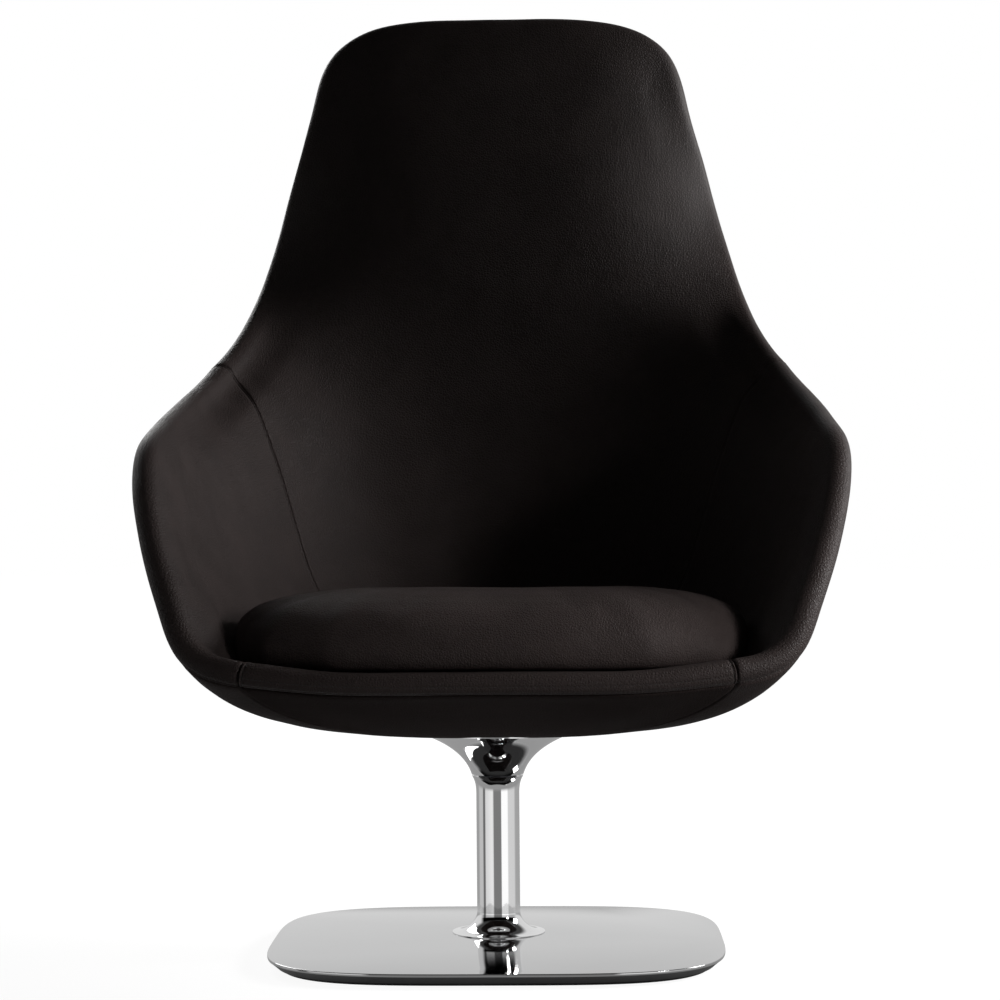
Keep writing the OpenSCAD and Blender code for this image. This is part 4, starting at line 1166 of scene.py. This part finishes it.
def cutHoles(piece, s):  # countersunk from below for the column's bolts
    work = bmesh.new()
    under, over = s["drillBeyond"]
    rings = [(s["padTop"] - under, s["boltHead"]), (s["padTop"] + s["headFlat"], s["boltHead"]),
             (s["padTop"] + s["boltSeat"], s["boltShank"]), (s["plateTop"] + over, s["boltShank"])]
    sides = s["drillSides"]
    for k in range(s["bolts"]):
        turn = math.radians(45 + 360 / s["bolts"] * k)
        centre = (s["boltCircle"] * math.cos(turn) * mm, s["boltCircle"] * math.sin(turn) * mm)
        loops = [[work.verts.new((centre[0] + r * mm * math.cos(a), centre[1] + r * mm * math.sin(a), z * mm))
                  for a in np.linspace(0, 2 * math.pi, sides, endpoint=False)] for z, r in rings]
        work.faces.new(loops[0][::-1])
        work.faces.new(loops[-1])
        for lower, upper in zip(loops, loops[1:]):
            for j in range(sides):
                work.faces.new((lower[j], lower[(j + 1) % sides], upper[(j + 1) % sides], upper[j]))
    drillMesh = bpy.data.meshes.new("boltDrill")
    work.to_mesh(drillMesh)
    work.free()
    drill = addPiece("boltDrill", drillMesh, None)
    cut = piece.modifiers.new("holes", "BOOLEAN")
    cut.operation = "DIFFERENCE"
    cut.solver = "EXACT"
    cut.use_self = True
    cut.object = drill
    mesh = evaluatedMesh(piece)
    piece.modifiers.remove(cut)
    piece.data = mesh
    bpy.data.objects.remove(drill)
    cleaned(mesh, sharpOver=30)


def makePlate(s):
    low, top, edge = s["padTop"], s["plateTop"], s["break"]
    high = top - edge - s["land"]
    levels = [(low, s["bevel"]), (low + s["bevelFoot"][0], s["bevel"] - s["bevelFoot"][1])]
    levels += [(high + z, inset) for z, inset in s["bevelEnd"]] + [(top - edge - s["landEnd"], 0.0)]
    levels += [(top - edge * (1 - math.sin(a)), edge * (1 - math.cos(a))) for a in s["breakAngles"]]
    mesh = bpy.data.meshes.new("basePlate")
    mesh.from_pydata(*stackedLoops([[(x, y, z) for x, y in plateOutline(s, inset)] for z, inset in levels]))
    cleaned(mesh, sharpOver=30)
    piece = addPiece("basePlate", mesh, None)
    cutHoles(piece, s)
    mesh = piece.data
    mesh.name = "basePlate"
    mesh.materials.clear()
    mesh.materials.append(satinPlate)
    mesh.materials.append(bevelPaintedShade)
    # faces below the land take the bevel's painted shade
    for face in mesh.polygons:
        if face.center.z < (high - s["shadePaintedBelow"]) * mm:
            face.material_index = 1
    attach(piece, "base")
    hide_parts("base_plate")


def makePad(s):  # the thin rubber sheet under the plate
    angles = (np.arange(s["points"]) + 0.5) * 2 * math.pi / s["points"]
    outer = plateOutline(s, s["bevel"] + s["padInset"])
    inner = s["padHole"] * np.stack([np.cos(angles), np.sin(angles)], axis=1)
    mesh = bpy.data.meshes.new("floorPad")
    mesh.from_pydata(*stackedLoops([[(x, y, z) for x, y in loop] for loop, z in (
        (outer, 0), (outer, s["padTop"]), (inner, s["padTop"]), (inner, 0))], closed=True))
    cleaned(mesh, sharpOver=30)
    piece = addPiece("floorPad", mesh, ribbedRubber)
    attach(piece, "base")
    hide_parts("floor_pad")


makePlate(base)
makePad(base)


def buildTurningTree():
    tree, given, result = geometryTree("turnedPart", {"Sides": 128, "Metal": "NodeSocketMaterial"})
    count = newNode(tree, "GeometryNodeAttributeDomainSize", {"Geometry": given["Geometry"]},
                    component="MESH").outputs["Point Count"]
    sheet = newNode(tree, "GeometryNodeMeshGrid", {
        "Size X": 1.0, "Size Y": 1.0, "Vertices X": mathNode(tree, "ADD", given["Sides"], 1),
        "Vertices Y": mathNode(tree, "ADD", count, 1)})
    place = newNode(tree, "GeometryNodeInputPosition").outputs[0]
    across, along = (mathNode(tree, "ADD", newNode(tree, "ShaderNodeSeparateXYZ", {0: place}).outputs[axis], 0.5)
                     for axis in ("X", "Y"))
    angle = mathNode(tree, "MULTIPLY", across, 2 * math.pi)
    row = mathNode(tree, "MODULO", mathNode(tree, "ROUND", mathNode(tree, "MULTIPLY", along, count)), count)
    pick = newNode(tree, "GeometryNodeSampleIndex", {"Geometry": given["Geometry"], "Value": place, "Index": row},
                   data_type="FLOAT_VECTOR")
    radius, _, height = newNode(tree, "ShaderNodeSeparateXYZ", {0: pick.outputs[0]}).outputs
    around = newNode(tree, "ShaderNodeCombineXYZ", {
        "X": mathNode(tree, "MULTIPLY", radius, mathNode(tree, "COSINE", angle)),
        "Y": mathNode(tree, "MULTIPLY", radius, mathNode(tree, "SINE", angle)), "Z": height})
    put = newNode(tree, "GeometryNodeSetPosition", {
        "Geometry": sheet.outputs["Mesh"], "Position": around.outputs[0]})
    return coated(tree, put.outputs[0], given["Metal"], result)


turningTree = buildTurningTree()
columnParts = {  # millimetres
    "footRadius": 50.8, "footBore": 20, "footEdge": 1, "footHeight": 22, "radius": 23.65, "top": 186,
    "lip": 28.6, "lipFlare": (20, 10, 4), "lipPull": 0.37,    # the flare starts so far below the top
    "bore": 16.1, "thrustPocket": 21.05, "footBreak": 0.2, "lipBreak": 0.3,
    "sides": 144, "flareSteps": 28, "lipSteps": 18,
}
headParts = {
    "foot": 187.5, "flange": 86, "flangeTop": 234.7, "flangeEdge": 1.2, "boss": 56, "bossTop": 243.2,
    "sweepPull": ((4.4, 14), (17.4, 32)), "screwHead": 8.3, "screwDepth": 8, "screwShank": 5.3,
    "spindleBore": 12.55, "sides": 160, "sweepSteps": 48,
}


def heightOf(node, corner):  # of a construction piece's foot (0) or top (1)
    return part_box(node)[corner].z / mm


def turned(name, profile, sides, material, body, node):
    mesh = bpy.data.meshes.new(name)
    mesh.from_pydata([(r * mm, 0, z * mm) for r, z in profile], [], [])
    piece = addPiece(name, mesh, None)
    runTree(piece, turningTree, {"Sides": sides, "Metal": material})
    piece.data.name = name
    oneMaterial(piece.data, material)
    cleaned(piece.data, sharpOver=32)
    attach(piece, body)
    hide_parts(node)


def columnProfile(c):
    top, lip, r, foot = c["top"], c["lip"], c["radius"], base["plateTop"]
    flare = [(c["footRadius"] - (c["footRadius"] - r) * math.sin(a),
              foot + c["footEdge"] + c["footHeight"] * (1 - math.cos(a)))
             for a in np.linspace(0, math.pi / 2, c["flareSteps"])]
    start, pull, end = c["lipFlare"]
    upper = [np.array(v, float) for v in ((r, top - start), (r, top - pull),
                                          (r + c["lipPull"] * (lip - r), top - end), (lip, top))]
    flare += [tuple(bezier(upper, t)) for t in np.linspace(0, 1, c["lipSteps"])]
    bushFoot, bearingSeat = heightOf("lower_bush", 0), heightOf("lower_race", 0)
    footBreak = c["footBreak"]
    return ([(c["footBore"], foot), (c["footRadius"] - footBreak, foot), (c["footRadius"], foot + footBreak)]
            + flare + [(lip - c["lipBreak"], top), (c["thrustPocket"], top), (c["thrustPocket"], bearingSeat),
               (c["bore"], bearingSeat), (c["bore"], bushFoot), (c["footBore"], bushFoot)])


def headProfile(h):
    raceTop, spindleTop = heightOf("upper_race", 1), heightOf("spindle", 1)
    screwSeat = h["bossTop"] - h["screwDepth"]
    lip, pocket = columnParts["lip"], columnParts["thrustPocket"]
    pulls = [(lip + x, h["foot"] + z) for x, z in h["sweepPull"]]
    edge = (h["flange"], h["flangeTop"] - h["flangeEdge"])
    sweep = [np.array(v, float) for v in ((lip, h["foot"]), *pulls, edge)]
    return ([(pocket, h["foot"]), (lip - columnParts["lipBreak"], h["foot"])]
            + [tuple(bezier(sweep, t)) for t in np.linspace(0, 1, h["sweepSteps"])]
            + [(h["flange"], h["flangeTop"]), (h["boss"], h["flangeTop"]), (h["boss"], h["bossTop"]),
               (h["screwHead"], h["bossTop"]), (h["screwHead"], screwSeat), (h["screwShank"], screwSeat),
               (h["screwShank"], spindleTop), (h["spindleBore"], spindleTop), (h["spindleBore"], raceTop),
               (pocket, raceTop)])


turned("columnTube", columnProfile(columnParts), columnParts["sides"], polished, "base", "column")
turned("swivelHead", headProfile(headParts), headParts["sides"], polished, "seat", "swivel_head")


shownMeshes = [o.data for o in bpy.data.objects if o.type == "MESH" and not o.hide_render]
print("triangles shown:", sum(len(face.vertices) - 2 for mesh in shownMeshes for face in mesh.polygons))
